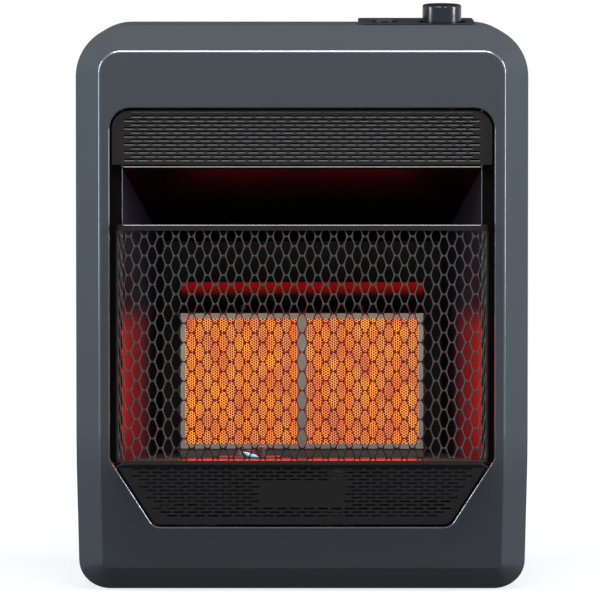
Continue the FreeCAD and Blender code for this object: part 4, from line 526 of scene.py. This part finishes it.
def rounded_front():
    shape = merged_copy("front_casing")
    highlight_coat = shape.faces.layers.float.new("highlight_coat")
    rim = [edge for edge in shape.edges
           if on_bevel(edge) and RIM_DEPTHS[0] < behind_front(edge) < RIM_DEPTHS[1]]
    round_edges(shape, rim, RIM_ROUND, RIM_STEPS)
    ridge = [edge for edge in shape.edges
             if on_bevel(edge) and abs(behind_front(edge)) < RIDGE_DEPTH]
    # Painted highlight on the ridge: the coat grows with height and with how far a face turns up.
    for face in round_edges(shape, ridge, RIDGE_ROUND, RIDGE_STEPS):
        upward_share = max(0.0, face.normal.z) / math.hypot(face.normal.x, face.normal.z)
        height_share = face.calc_center_median().z / CASE_TOP
        face[highlight_coat] = height_share * (SIDE_HIGHLIGHT + (1 - SIDE_HIGHLIGHT) * upward_share)
    lip = [edge for edge in shape.edges
           if fold_of(edge) > BEVEL_FOLDS[1] and abs(behind_front(edge)) < OPENING_DEPTH]
    # Painted highlight on the opening's lip: more coat below the bend, less on the sides, none near
    # the top.
    for face in round_edges(shape, lip, OPENING_ROUND, OPENING_STEPS):
        height = face.calc_center_median().z
        if height < BRIGHT_LIP_TOP:
            face[highlight_coat] = SIDE_LIP_HIGHLIGHT if height > BEND_HEIGHT else FOOT_LIP_HIGHLIGHT
    print("rounded edges: rim", len(rim), "ridge", len(ridge), "lip", len(lip))
    piece = new_piece("pressed_front", shape, CASING_PAINT, "cabinet", "front_casing")
    smooth_shading(piece, FRONT_SHARP)


rounded_front()

# %% [markdown]
# ## Black enamel
# Grilles, hood and guard wear a thin heat-proof enamel, nearly black and slightly brown. Sheets
# with few edges are copied and their outward edges broken by a small round, which gets the clear
# coat's mark as a painted highlight where it does not face down. Faces turned away from the fire may
# wear a finish of their own, without the painted red glow.

# %% Black enamel
BLACK_ENAMEL = finish("black_enamel", (0.009, 0.007, 0.007), (0.006, 0.0045, 0.0045), 0.28, 0.36,
                      specular=0.15, cloud=30, grain=1200, depth=0.06, highlight_coated=True)
HOOD_ENAMEL = finish("hood_enamel", (0.0030, 0.0022, 0.0022), (0.002, 0.0014, 0.0014), 0.24, 0.30,
                     specular=0.02, cloud=18, grain=1200, depth=0.04)
RAIL_ROUND = 0.7 * MM
SHEET_FOLD = 50
SHEET_STEPS = 2
SHEET_SHARP = 40
EDGE_HIGHLIGHT = 0.35
FRONT_SHARE = 0.95
AWAY_SHARE = 0.3
DOWN_SHARE = 0.2


def turned_away(face):
    """True on a sheet's front edge, on its top and on its side away from the fire."""
    outward = face.normal.x * math.copysign(1, face.calc_center_median().x)
    return face.normal.y < -FRONT_SHARE or face.normal.z > AWAY_SHARE or outward > AWAY_SHARE


def soft_sheet(name, node, width, material, away_material=None):
    shape = merged_copy(node)
    highlight_coat = shape.faces.layers.float.new("highlight_coat")
    edges = [edge for edge in shape.edges if fold_of(edge) > SHEET_FOLD]
    rounds = round_edges(shape, edges, width, SHEET_STEPS)
    for face in shape.faces:
        if away_material and turned_away(face):
            face.material_index = 1
    # Painted highlight: the rounds get the clear coat where they do not face down.
    for face in rounds:
        face[highlight_coat] = EDGE_HIGHLIGHT if face.normal.z > -DOWN_SHARE else 0
    piece = new_piece(name, shape, material, "cabinet", node)
    if away_material:
        piece.data.materials.append(away_material)
    smooth_shading(piece, SHEET_SHARP)
    print(name, len(edges), "edges rounded", len(piece.data.polygons), "faces")


soft_sheet("guard_rails", "guard_frame", RAIL_ROUND, BLACK_ENAMEL)
dress(BLACK_ENAMEL, "upper_grille", "lower_grille")
dress(HOOD_ENAMEL, "hood")

# %% [markdown]
# ## Slot lips
# The punch pushes the metal below every slot a little forward, and that small slope catches the
# light from above; its clear coat adds a painted highlight. One lip is drawn, and a copy is set
# under each slot. The slots are found in the mesh itself: each has one straight lower edge where its
# floor meets the front. Long lips of the same section edge the top of the upper grille, the front
# of the hood below it and the top rail of the guard.

# %% Slot lips
SLOT_EDGE_LENGTH = (7.2 * MM, 7.8 * MM)
LIP_HALF = 4.6 * MM
LIP_TAPER = 0.6 * MM
LIP_HEIGHT = 0.48 * MM
LIP_REACH = 0.30 * MM
LIP_FOOT = 0.20 * MM
LIP_BITE = 0.2 * MM
SQUARE_SHARE = 0.9
SLOT_HIGHLIGHT = 0.05
RAIL_HIGHLIGHT = 0.15
HOOD_LIP_HALF = 149 * MM
HOOD_LIP_DROP = 0.4 * MM
HOOD_LIP_AHEAD = 1.0 * MM
GRILLE_LIP_HALF = 143 * MM
GRILLE_LIP_DROP = 1.2 * MM
GUARD_LIP_HALF = 148 * MM
GUARD_LIP_DROP = 0.3 * MM


def slot_feet(node):
    """The middle of every slot's lower front edge."""
    shape = bmesh.new()
    shape.from_mesh(nodes[node].data)
    bmesh.ops.remove_doubles(shape, verts=shape.verts, dist=MERGE_GAP)
    places = []
    for edge in shape.edges:
        ups = [face.normal.z for face in edge.link_faces]
        fronts = [face.normal.y for face in edge.link_faces]
        straight = SLOT_EDGE_LENGTH[0] < edge.calc_length() < SLOT_EDGE_LENGTH[1]
        if straight and max(ups) > SQUARE_SHARE and min(fronts) < -SQUARE_SHARE:
            places.append((edge.verts[0].co + edge.verts[1].co) / 2)
    shape.free()
    return places


def lips(name, places, half, lean, highlight, bite=LIP_BITE):
    """Small wedges at the given places, on a sheet that leans back at the foot."""
    sill = [(-half, bite, 0), (half, bite, 0)]
    top = [(-half, 0, 0), (half, 0, 0)]
    nose_half = half - LIP_TAPER
    nose = [(-nose_half, -LIP_REACH, -LIP_HEIGHT), (nose_half, -LIP_REACH, -LIP_HEIGHT)]
    foot = [(-half, bite, -LIP_HEIGHT - LIP_FOOT), (half, bite, -LIP_HEIGHT - LIP_FOOT)]
    turn = Matrix.Rotation(lean, 3, "X")
    section = [turn @ Vector(point) for point in sill + top + nose + foot]
    slope = (2, 3, 5, 4)
    others = [(0, 1, 3, 2), (4, 5, 7, 6), (6, 7, 1, 0), (0, 2, 4, 6), (1, 7, 5, 3)]
    shape = bmesh.new()
    highlight_coat = shape.faces.layers.float.new("highlight_coat")
    for place in places:
        corners = [shape.verts.new(place + point) for point in section]
        # Painted highlight: the slope carries the clear coat's mark.
        shape.faces.new([corners[index] for index in slope])[highlight_coat] = highlight
        for side in others:
            shape.faces.new([corners[index] for index in side])
    new_piece(name, shape, BLACK_ENAMEL, "cabinet")
    print(name, len(places), "lips")


hood_low, hood_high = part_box("hood")
grille_low, grille_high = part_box("upper_grille")
hood_front = Vector((0, grille_low[1] - HOOD_LIP_AHEAD, hood_high[2] - HOOD_LIP_DROP))
hood_bite = hood_low[1] - hood_front.y + LIP_BITE
grille_top = Vector((0, grille_low[1], grille_high[2] - GRILLE_LIP_DROP))
guard_low, guard_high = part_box("guard_frame")
guard_top = Vector((0, guard_low[1], guard_high[2] - GUARD_LIP_DROP))
lips("upper_lips", slot_feet("upper_grille"), LIP_HALF, 0, SLOT_HIGHLIGHT)
lips("lower_lips", slot_feet("lower_grille"), LIP_HALF, LOWER_SLOPE, SLOT_HIGHLIGHT)
lips("hood_lip", [hood_front], HOOD_LIP_HALF, 0, RAIL_HIGHLIGHT, hood_bite)
lips("grille_lip", [grille_top], GRILLE_LIP_HALF, 0, RAIL_HIGHLIGHT)
lips("guard_lip", [guard_top], GUARD_LIP_HALF, 0, RAIL_HIGHLIGHT)

# %% [markdown]
# ## Wire guard
# The guard is a net of six-sided cells. One cell is drawn, copied along a row and up in steps,
# trimmed to the rails, folded round the two corners and turned into round wire.

# %% Wire guard
WIRE_ENAMEL = finish("wire_enamel", (0.038, 0.033, 0.030), (0.031, 0.027, 0.024), 0.50, 0.60,
                     specular=0.1, cloud=30, grain=1200, depth=0.04)
CELL_PITCH = 13.06 * MM
CELL_RISE = 15.95 * MM
KNUCKLE = 3.3 * MM
WIRE = 1.40 * MM
CELL_MERGE = 0.05 * MM
NET_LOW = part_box("guard_net_front")[0][2]
NET_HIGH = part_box("guard_net_front")[1][2]
NET_PLANE = (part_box("guard_net_front")[0][1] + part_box("guard_net_front")[1][1]) / 2
NET_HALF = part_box("guard_net_front")[1][0]
SIDE_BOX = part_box("guard_net_right")
SIDE_RUN = math.hypot(SIDE_BOX[1][0] - NET_HALF, SIDE_BOX[1][1] - NET_PLANE)
SIDE_HEADING = math.atan2(SIDE_BOX[1][1] - NET_PLANE, SIDE_BOX[1][0] - NET_HALF)


def net_cells():
    """A flat net of six-sided faces, as wide as the front and both sides unrolled."""
    shape = bmesh.new()
    tip = (CELL_PITCH - KNUCKLE) / 2
    corners = [(tip, 0), (KNUCKLE / 2, CELL_RISE / 2), (-KNUCKLE / 2, CELL_RISE / 2), (-tip, 0),
               (-KNUCKLE / 2, -CELL_RISE / 2), (KNUCKLE / 2, -CELL_RISE / 2)]
    columns = int((NET_HALF + SIDE_RUN) / CELL_PITCH) + 2
    rows = int((NET_HIGH - NET_LOW) / CELL_RISE) + 2
    for shift in (0.0, 0.5):
        start_u = (shift - columns) * CELL_PITCH
        start_z = NET_HIGH - (rows + shift) * CELL_RISE
        cell = shape.faces.new([shape.verts.new((start_u + u, 0, start_z + z)) for u, z in corners])
        geom = list(cell.verts) + list(cell.edges) + [cell]
        bmesh.ops.spin(shape, geom=geom, angle=0, steps=2 * columns, dvec=(CELL_PITCH, 0, 0),
                       use_duplicate=True, axis=(0, 0, 1), cent=(0, 0, 0))
    everything = list(shape.verts) + list(shape.edges) + list(shape.faces)
    bmesh.ops.spin(shape, geom=everything, angle=0, steps=rows + 1, dvec=(0, 0, CELL_RISE),
                   use_duplicate=True, axis=(0, 0, 1), cent=(0, 0, 0))
    bmesh.ops.remove_doubles(shape, verts=shape.verts, dist=CELL_MERGE)
    reach = NET_HALF + SIDE_RUN
    trims = [((0, 0, NET_HIGH), (0, 0, 1)), ((0, 0, NET_LOW), (0, 0, -1)),
             ((reach, 0, 0), (1, 0, 0)), ((-reach, 0, 0), (-1, 0, 0))]
    for place, outward in trims:
        everything = list(shape.verts) + list(shape.edges) + list(shape.faces)
        bmesh.ops.bisect_plane(shape, geom=everything, plane_co=place, plane_no=outward,
                               clear_outer=True)
    return shape


def fold_net(shape):
    """Lays the flat net round the two front corners of the guard."""
    for vert in shape.verts:
        side = math.copysign(1, vert.co.x)
        past = abs(vert.co.x) - NET_HALF
        vert.co.y = NET_PLANE
        if past > 0:
            vert.co.x = side * (NET_HALF + past * math.cos(SIDE_HEADING))
            vert.co.y = NET_PLANE + past * math.sin(SIDE_HEADING)


def wire_guard():
    shape = net_cells()
    bmesh.ops.subdivide_edges(shape, edges=shape.edges, cuts=1)
    fold_net(shape)
    bmesh.ops.recalc_face_normals(shape, faces=shape.faces)
    bmesh.ops.wireframe(shape, faces=shape.faces, thickness=WIRE, use_replace=True,
                        use_boundary=True, use_even_offset=True)
    piece = new_piece("wire_net", shape, WIRE_ENAMEL, "cabinet", "guard_net_front", "guard_net_left",
                      "guard_net_right")
    round_wire = piece.modifiers.new("round_wire", "SUBSURF")
    round_wire.levels = 1
    round_wire.render_levels = 1
    piece.data.shade_smooth()
    print("wire guard", len(piece.data.polygons), "faces")


wire_guard()

# %% [markdown]
# ## Painted red glow reflection
# Steel near the fire carries a painted reflection of the plaques: a deep red glow painted as emission.
# Ramps along the sheet draw it: each names an axis, a dark place and a bright place, and is scaled by
# the one before.

# %% Painted glow reflection


def ramped_mask(tree, ramps):
    """A mask that grows along each ramp from its dark place to its bright place."""
    place = tree.nodes.new("ShaderNodeTexCoord")
    split = tree.nodes.new("ShaderNodeSeparateXYZ")
    tree.links.new(place.outputs["Object"], split.inputs["Vector"])
    strength = None
    for axis, dark, bright in ramps:
        ramp = tree.nodes.new("ShaderNodeMapRange")
        ramp.interpolation_type = "SMOOTHSTEP"
        ramp.inputs["From Min"].default_value = dark
        ramp.inputs["From Max"].default_value = bright
        tree.links.new(split.outputs[axis], ramp.inputs["Value"])
        if strength:
            tree.links.new(strength, ramp.inputs["To Max"])
        strength = ramp.outputs["Result"]
    return strength


# Painted reflection: red emission laid on along the ramps.
def painted_glow_reflection(material, red, ramps):
    tree = material.node_tree
    shader = tree.nodes["Principled BSDF"]
    shader.inputs["Emission Strength"].default_value = 1
    glow = tree.nodes.new("ShaderNodeMix")
    glow.data_type = "RGBA"
    glow.inputs["A"].default_value = (0, 0, 0, 1)
    glow.inputs["B"].default_value = red
    tree.links.new(ramped_mask(tree, ramps), glow.inputs["Factor"])
    tree.links.new(glow.outputs["Result"], shader.inputs["Emission Color"])
    print("glow on", material.name, "by", len(ramps), "ramps")


# %% [markdown]
# ## Firebox steel
# The sheets round the fire are steel that heat has blackened. A painted red reflection on the side
# walls is strongest at their front edge and only as high as the plaques. The visor over the plaques
# carries a painted reflection of them below its lip, and the tray under them one towards its front.

# %% Firebox steel
WALL_ROUND = 0.7 * MM
# Painted reflection of the plaques: red emission on the walls, visor and tray, drawn by the ramps.
WALL_PAINTED_RED = (0.10, 0.001, 0.0003, 1)
WALL_PAINTED_RED_RAMPS = [("Z", 100 * MM, 122 * MM), ("Z", 246 * MM, 222 * MM), ("Y", 5 * MM, -38 * MM)]
VISOR_ROUND = 0.4 * MM
VISOR_PAINTED_RED = (0.17, 0.002, 0.001, 1)
VISOR_PAINTED_RED_RAMPS = [("Z", 249 * MM, 258 * MM), ("Z", 264 * MM, 261 * MM)]
TRAY_PAINTED_RED = (0.05, 0.026, 0.014, 1)
TRAY_PAINTED_RED_RAMPS = [("Y", -20 * MM, -60 * MM)]
FIREBOX_STEEL = finish("firebox_steel", (0.011, 0.009, 0.012), (0.007, 0.006, 0.008), 0.30, 0.40,
                       specular=0.12, cloud=22, grain=600, depth=0.05, highlight_coated=True)
painted_glow_reflection(FIREBOX_STEEL, WALL_PAINTED_RED, WALL_PAINTED_RED_RAMPS)
soft_sheet("fire_wall_left", "firebox_wall_left", WALL_ROUND, FIREBOX_STEEL, HOOD_ENAMEL)
soft_sheet("fire_wall_right", "firebox_wall_right", WALL_ROUND, FIREBOX_STEEL, HOOD_ENAMEL)
SOOT_STEEL = finish("soot_steel", (0.010, 0.008, 0.008), (0.006, 0.005, 0.005), 0.55, 0.7,
                    specular=0.15, cloud=22, grain=600, depth=0.05)
dress(SOOT_STEEL, "firebox_back", "visor_screws")
FLOOR_STEEL = finish("floor_steel", (0.022, 0.020, 0.017), (0.014, 0.012, 0.010), 0.4, 0.5,
                     specular=0.12, cloud=40, grain=600, depth=0.05)
painted_glow_reflection(FLOOR_STEEL, TRAY_PAINTED_RED, TRAY_PAINTED_RED_RAMPS)
dress(FLOOR_STEEL, "firebox_floor")
RETAINER_STEEL = finish("retainer_steel", (0.26, 0.235, 0.19), (0.17, 0.15, 0.12), 0.4, 0.55,
                        cloud=60, grain=900, depth=0.06)
dress(RETAINER_STEEL, "burner_retainer")
BURNER_STEEL = finish("burner_steel", (0.075, 0.066, 0.060), (0.045, 0.040, 0.036), 0.4, 0.55,
                      metal=0.3, cloud=60, grain=900, depth=0.06)
dress(BURNER_STEEL, "burner_box", "burner_rail", "pilot_bracket", "thermocouple", "pilot_burner")
VISOR_STEEL = finish("visor_steel", (0.006, 0.003, 0.003), (0.004, 0.002, 0.002), 0.24, 0.30,
                     specular=0.1, cloud=30, grain=900, depth=0.04)
painted_glow_reflection(VISOR_STEEL, VISOR_PAINTED_RED, VISOR_PAINTED_RED_RAMPS)
soft_sheet("visor_sheet", "burner_visor", VISOR_ROUND, VISOR_STEEL, HOOD_ENAMEL)

# %% [markdown]
# ## Glowing plaques
# The ceramic plates are drilled with thousands of fine holes. In use the surface glows orange,
# brightest on the lands between the holes, in patches of a redder and a yellower orange.

# %% Glowing plaques
HOLE_PITCH = 2.15 * MM
HOLE_DEPTH = 1 * MM
HOLE_EDGE_SHARES = (0.31, 0.47)
PATCH_SHARES = (0.26, 0.70)
RED_HEAT = (1.08, 0.21, 0.105, 1)
YELLOW_HEAT = (1.55, 0.54, 0.055, 1)
HOLE_HEAT = (0.10, 0.004, 0.0005, 1)
HOLE_TONE = (0.02, 0.01, 0.005, 1)
LAND_TONE = (0.06, 0.035, 0.02, 1)


def plaque_glow():
    material = bpy.data.materials.new("plaque_glow")
    material.use_nodes = True
    tree = material.node_tree
    shader = tree.nodes["Principled BSDF"]
    shader.inputs["Roughness"].default_value = 0.9
    shader.inputs["Specular IOR Level"].default_value = 0.1
    shader.inputs["Emission Strength"].default_value = 1.0
    link = tree.links.new
    place = tree.nodes.new("ShaderNodeTexCoord")
    holes = place_group(tree, DOT_LATTICE, Pitch=HOLE_PITCH)
    land = tree.nodes.new("ShaderNodeMapRange")
    land.interpolation_type = "SMOOTHSTEP"
    land.inputs["From Min"].default_value = HOLE_EDGE_SHARES[0]
    land.inputs["From Max"].default_value = HOLE_EDGE_SHARES[1]
    clouds = tree.nodes.new("ShaderNodeTexNoise")
    clouds.inputs["Scale"].default_value = 60
    clouds.inputs["Detail"].default_value = 3
    patches = tree.nodes.new("ShaderNodeMapRange")
    patches.inputs["From Min"].default_value = PATCH_SHARES[0]
    patches.inputs["From Max"].default_value = PATCH_SHARES[1]
    heat = tree.nodes.new("ShaderNodeMix")
    heat.data_type = "RGBA"
    heat.inputs["A"].default_value = RED_HEAT
    heat.inputs["B"].default_value = YELLOW_HEAT
    pores = tree.nodes.new("ShaderNodeMix")
    pores.data_type = "RGBA"
    pores.inputs["A"].default_value = HOLE_HEAT
    link(place.outputs["Object"], holes.inputs["Vector"])
    link(place.outputs["Object"], clouds.inputs["Vector"])
    link(holes.outputs["Distance"], land.inputs["Value"])
    link(clouds.outputs["Fac"], patches.inputs["Value"])
    link(patches.outputs["Result"], heat.inputs["Factor"])
    link(heat.outputs["Result"], pores.inputs["B"])
    link(land.outputs["Result"], pores.inputs["Factor"])
    link(pores.outputs["Result"], shader.inputs["Emission Color"])
    tone = tree.nodes.new("ShaderNodeMix")
    tone.data_type = "RGBA"
    tone.inputs["A"].default_value = HOLE_TONE
    tone.inputs["B"].default_value = LAND_TONE
    link(land.outputs["Result"], tone.inputs["Factor"])
    link(tone.outputs["Result"], shader.inputs["Base Color"])
    bump = tree.nodes.new("ShaderNodeBump")
    bump.inputs["Strength"].default_value = 0.6
    bump.inputs["Distance"].default_value = HOLE_DEPTH
    link(land.outputs["Result"], bump.inputs["Height"])
    link(bump.outputs["Normal"], shader.inputs["Normal"])
    return material


dress(plaque_glow(), "plaque_left", "plaque_right")
FIBRE = finish("fibre", (0.72, 0.66, 0.56), (0.55, 0.50, 0.42), 0.85, 0.95, cloud=160,
               grain=1600, depth=0.5)
dress(FIBRE, "gasket_left", "gasket_right")

# %% [markdown]
# ## Heat around the plaques
# The glow gives out far more red than the picture can hold, so a red lamp over each plaque lights
# the steel around it. The wires in front of the burner are darker, and those right over a
# plaque carry a painted dull red glow.

# %% Heat around the plaques
GLOW_POWER = 0.42
GLOW_RED = (1, 0.02, 0.006)
GLOW_AHEAD = 1.6 * MM
GLOW_MARGIN = 4 * MM
# Painted glow: dull red emission on the wires right over a plaque.
WIRE_PAINTED_RED = (0.13, 0.001, 0.0002, 1)
# Wires over the burner are darker: the base colour goes over to a darker tint along the ramps.
WIRE_DARK_TINT = (0.006, 0.001, 0.001, 1)
WIRE_PAINTED_RED_RAMPS = [("X", -100 * MM, -95 * MM), ("X", 100 * MM, 95 * MM),
              ("Z", 125 * MM, 130 * MM), ("Z", 241 * MM, 235 * MM)]
WIRE_DARK_RAMPS = [("X", -110 * MM, -100 * MM), ("X", 110 * MM, 100 * MM), ("Z", 246 * MM, 238 * MM)]


def darkened_along(material, tint, ramps):
    """The colour goes over to the tint along the ramps."""
    tree = material.node_tree
    base = tree.nodes["Principled BSDF"].inputs["Base Color"]
    darken_mix = tree.nodes.new("ShaderNodeMix")
    darken_mix.data_type = "RGBA"
    darken_mix.inputs["B"].default_value = tint
    tree.links.new(base.links[0].from_socket, darken_mix.inputs["A"])
    tree.links.new(ramped_mask(tree, ramps), darken_mix.inputs["Factor"])
    tree.links.new(darken_mix.outputs["Result"], base)


def glow_lamp(name, node):
    """A red lamp over a plaque, hidden from the camera: the heat that the steel mirrors."""
    low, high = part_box(node)
    place = ((low[0] + high[0]) / 2, low[1] - GLOW_AHEAD, (low[2] + high[2]) / 2)
    ahead = (place[0], place[1] - 1, place[2])
    size = (high[0] - low[0] - GLOW_MARGIN, high[2] - low[2] - GLOW_MARGIN)
    softbox(name, place, ahead, size, GLOW_POWER, GLOW_RED)
    bpy.data.objects[name].visible_camera = False


painted_glow_reflection(WIRE_ENAMEL, WIRE_PAINTED_RED, WIRE_PAINTED_RED_RAMPS)
darkened_along(WIRE_ENAMEL, WIRE_DARK_TINT, WIRE_DARK_RAMPS)
glow_lamp("glow_left", "plaque_left")
glow_lamp("glow_right", "plaque_right")

# %% [markdown]
# ## Pilot flame
# A small blue flame burns at the pilot. Two drops, spun from one section, lean away from each
# other in front of the port. Soft clouds shift the colour between blue and cyan.

# %% Pilot flame
FLAME_SECTION = [(0, 0), (1.1, 0.5), (1.7, 1.6), (1.5, 3.2), (0.8, 5.2), (0, 7.0)]
FLAME_TURNS = 12
FLAME_LEANS = (math.radians(-62), math.radians(98))
FLAME_AHEAD = 1.5 * MM
FLAME_DROP = 4.0 * MM


def flame_colour():
    material = bpy.data.materials.new("pilot_flame")
    material.use_nodes = True
    tree = material.node_tree
    shader = tree.nodes["Principled BSDF"]
    shader.inputs["Roughness"].default_value = 0.9
    shader.inputs["Emission Strength"].default_value = 0.5
    place = tree.nodes.new("ShaderNodeTexCoord")
    clouds = tree.nodes.new("ShaderNodeTexNoise")
    clouds.inputs["Scale"].default_value = 300
    blend = tree.nodes.new("ShaderNodeMix")
    blend.data_type = "RGBA"
    blend.inputs["A"].default_value = (0.06, 0.28, 0.50, 1)
    blend.inputs["B"].default_value = (0.30, 0.72, 0.76, 1)
    tree.links.new(place.outputs["Object"], clouds.inputs["Vector"])
    tree.links.new(clouds.outputs["Fac"], blend.inputs["Factor"])
    tree.links.new(blend.outputs["Result"], shader.inputs["Base Color"])
    tree.links.new(blend.outputs["Result"], shader.inputs["Emission Color"])
    return material


def pilot_flame():
    low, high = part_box("pilot_burner")
    root = Vector(((low[0] + high[0]) / 2, low[1] - FLAME_AHEAD, high[2] - FLAME_DROP))
    shape = bmesh.new()
    for lean in FLAME_LEANS:
        section = [shape.verts.new((radius * MM, 0, height * MM)) for radius, height in FLAME_SECTION]
        lines = [shape.edges.new(pair) for pair in zip(section, section[1:])]
        before = set(shape.verts) - set(section)
        bmesh.ops.spin(shape, geom=section + lines, cent=(0, 0, 0), axis=(0, 0, 1), angle=2 * math.pi,
                       steps=FLAME_TURNS, use_merge=True)
        drop = [vert for vert in shape.verts if vert not in before]
        placed = Matrix.Translation(root) @ Matrix.Rotation(lean, 4, "Y")
        bmesh.ops.transform(shape, matrix=placed, verts=drop)
    bmesh.ops.remove_doubles(shape, verts=shape.verts, dist=MERGE_GAP)
    piece = new_piece("pilot_flame", shape, flame_colour(), "cabinet")
    piece.data.shade_smooth()
    print("flame", len(piece.data.polygons), "faces at", [round(value, 4) for value in root])


pilot_flame()

# %% [markdown]
# ## Metal small parts
# Screws, springs and clips are zinc plated, gas fittings are brass, the tubes are copper gone
# dark, and the valve, regulator and mixing tube are cast alloy.

# %% Metal small parts
ZINC = finish("zinc", (0.56, 0.56, 0.57), (0.42, 0.42, 0.44), 0.25, 0.4, metal=1.0, cloud=120)
dress(ZINC, "casing_screws", "back_screws", "valve_screws", "spring_seat", "igniter_nut", "valve_stem",
      "bulb_clips")
BRASS = finish("brass", (0.24, 0.15, 0.06), (0.15, 0.09, 0.035), 0.35, 0.5, metal=1.0, cloud=90)
dress(BRASS, "injector", "inlet_fitting", "valve_fittings")
COPPER = finish("copper", (0.075, 0.042, 0.026), (0.045, 0.026, 0.017), 0.45, 0.6, metal=1.0, cloud=90)
dress(COPPER, "supply_tube", "main_tube", "pilot_tube", "thermocouple_lead", "thermostat_bulb",
      "thermostat_capillary")
CAST_ALLOY = finish("cast_alloy", (0.26, 0.26, 0.27), (0.18, 0.18, 0.19), 0.45, 0.6, metal=1.0,
                    cloud=70, grain=500, depth=0.3)
dress(CAST_ALLOY, "venturi", "gas_valve", "regulator", "air_shutter")
GLAZE = finish("glaze", (0.11, 0.10, 0.095), (0.08, 0.072, 0.066), 0.2, 0.3, cloud=80)
dress(GLAZE, "spark_electrode")

# %% [markdown]
# ## Return springs
# The coils under the knob and the button shorten as their part is pressed. Each is a copy of its
# coil with smooth shading and a mesh of its own.

# %% Return springs
CONSOLE_TILT = math.radians(9)
COIL_SHARP = 40


def return_spring(name, node):
    shape = merged_copy(node)
    piece = new_piece(name, shape, ZINC, "cabinet", node)
    smooth_shading(piece, COIL_SHARP)
    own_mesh(piece)


return_spring("knob_spring", "valve_spring")
return_spring("button_spring", "igniter_spring")

# %% [markdown]
# ## Plastic and rubber
# The console and the button are fine-grained black plastic. The knob is smoother: its section is
# drawn once and spun round the axis of the stem, which tilts forward with the console. A narrow
# groove in the top is the pointer.

# %% Plastic and rubber
BLACK_PLASTIC = finish("black_plastic", (0.010, 0.010, 0.011), (0.007, 0.007, 0.008), 0.42, 0.55,
                       specular=0.25, cloud=60, grain=1500, depth=0.2)
dress(BLACK_PLASTIC, "control_console", "igniter_button", "igniter_body")
RUBBER = finish("rubber", (0.020, 0.020, 0.020), (0.013, 0.013, 0.013), 0.7, 0.85, cloud=90,
                grain=1100, depth=0.2)
dress(RUBBER, "rear_pads", "igniter_lead")
KNOB_PLASTIC = finish("knob_plastic", (0.006, 0.006, 0.009), (0.004, 0.004, 0.006), 0.16, 0.22,
                      specular=0.3, cloud=60, grain=1500)
KNOB_PLACE = Vector((118.5, -32.6, 483.12)) * MM
KNOB_TURNS = 72
POINTER_DEPTH = 0.7 * MM
POINTER_FROM = 3 * MM
KNOB_TOP = 14.5 * MM
KNOB_SHARP = 35
KNOB_SECTION = [(0, 13.9), (4, 13.9), (9, 14.0), (13.6, 14.1), (14.4, 14.5), (15.4, 14.3),
                (16.2, 13.5), (16.5, 12.4), (16.55, 6), (16.6, -2.4), (16.1, -3), (4.4, -3),
                (4.4, 10.3), (0, 10.3)]


def smooth_knob():
    shape = bmesh.new()
    section = [shape.verts.new((radius * MM, 0, height * MM)) for radius, height in KNOB_SECTION]
    lines = [shape.edges.new(pair) for pair in zip(section, section[1:])]
    bmesh.ops.spin(shape, geom=section + lines, cent=(0, 0, 0), axis=(0, 0, 1), angle=2 * math.pi,
                   steps=KNOB_TURNS, use_merge=True)
    bmesh.ops.remove_doubles(shape, verts=shape.verts, dist=MERGE_GAP)
    half_step = math.pi / KNOB_TURNS
    for vert in shape.verts:
        ahead = abs(math.atan2(vert.co.x, -vert.co.y)) < half_step
        on_top = vert.co.z > KNOB_TOP - POINTER_DEPTH
        if ahead and on_top and math.hypot(vert.co.x, vert.co.y) > POINTER_FROM:
            vert.co.z -= POINTER_DEPTH
    place = Matrix.Translation(KNOB_PLACE) @ Matrix.Rotation(CONSOLE_TILT, 4, "X")
    bmesh.ops.transform(shape, matrix=place, verts=shape.verts)
    piece = new_piece("smooth_knob", shape, KNOB_PLASTIC, "knob", "control_knob")
    smooth_shading(piece, KNOB_SHARP)
    print("knob", len(piece.data.polygons), "faces")


smooth_knob()
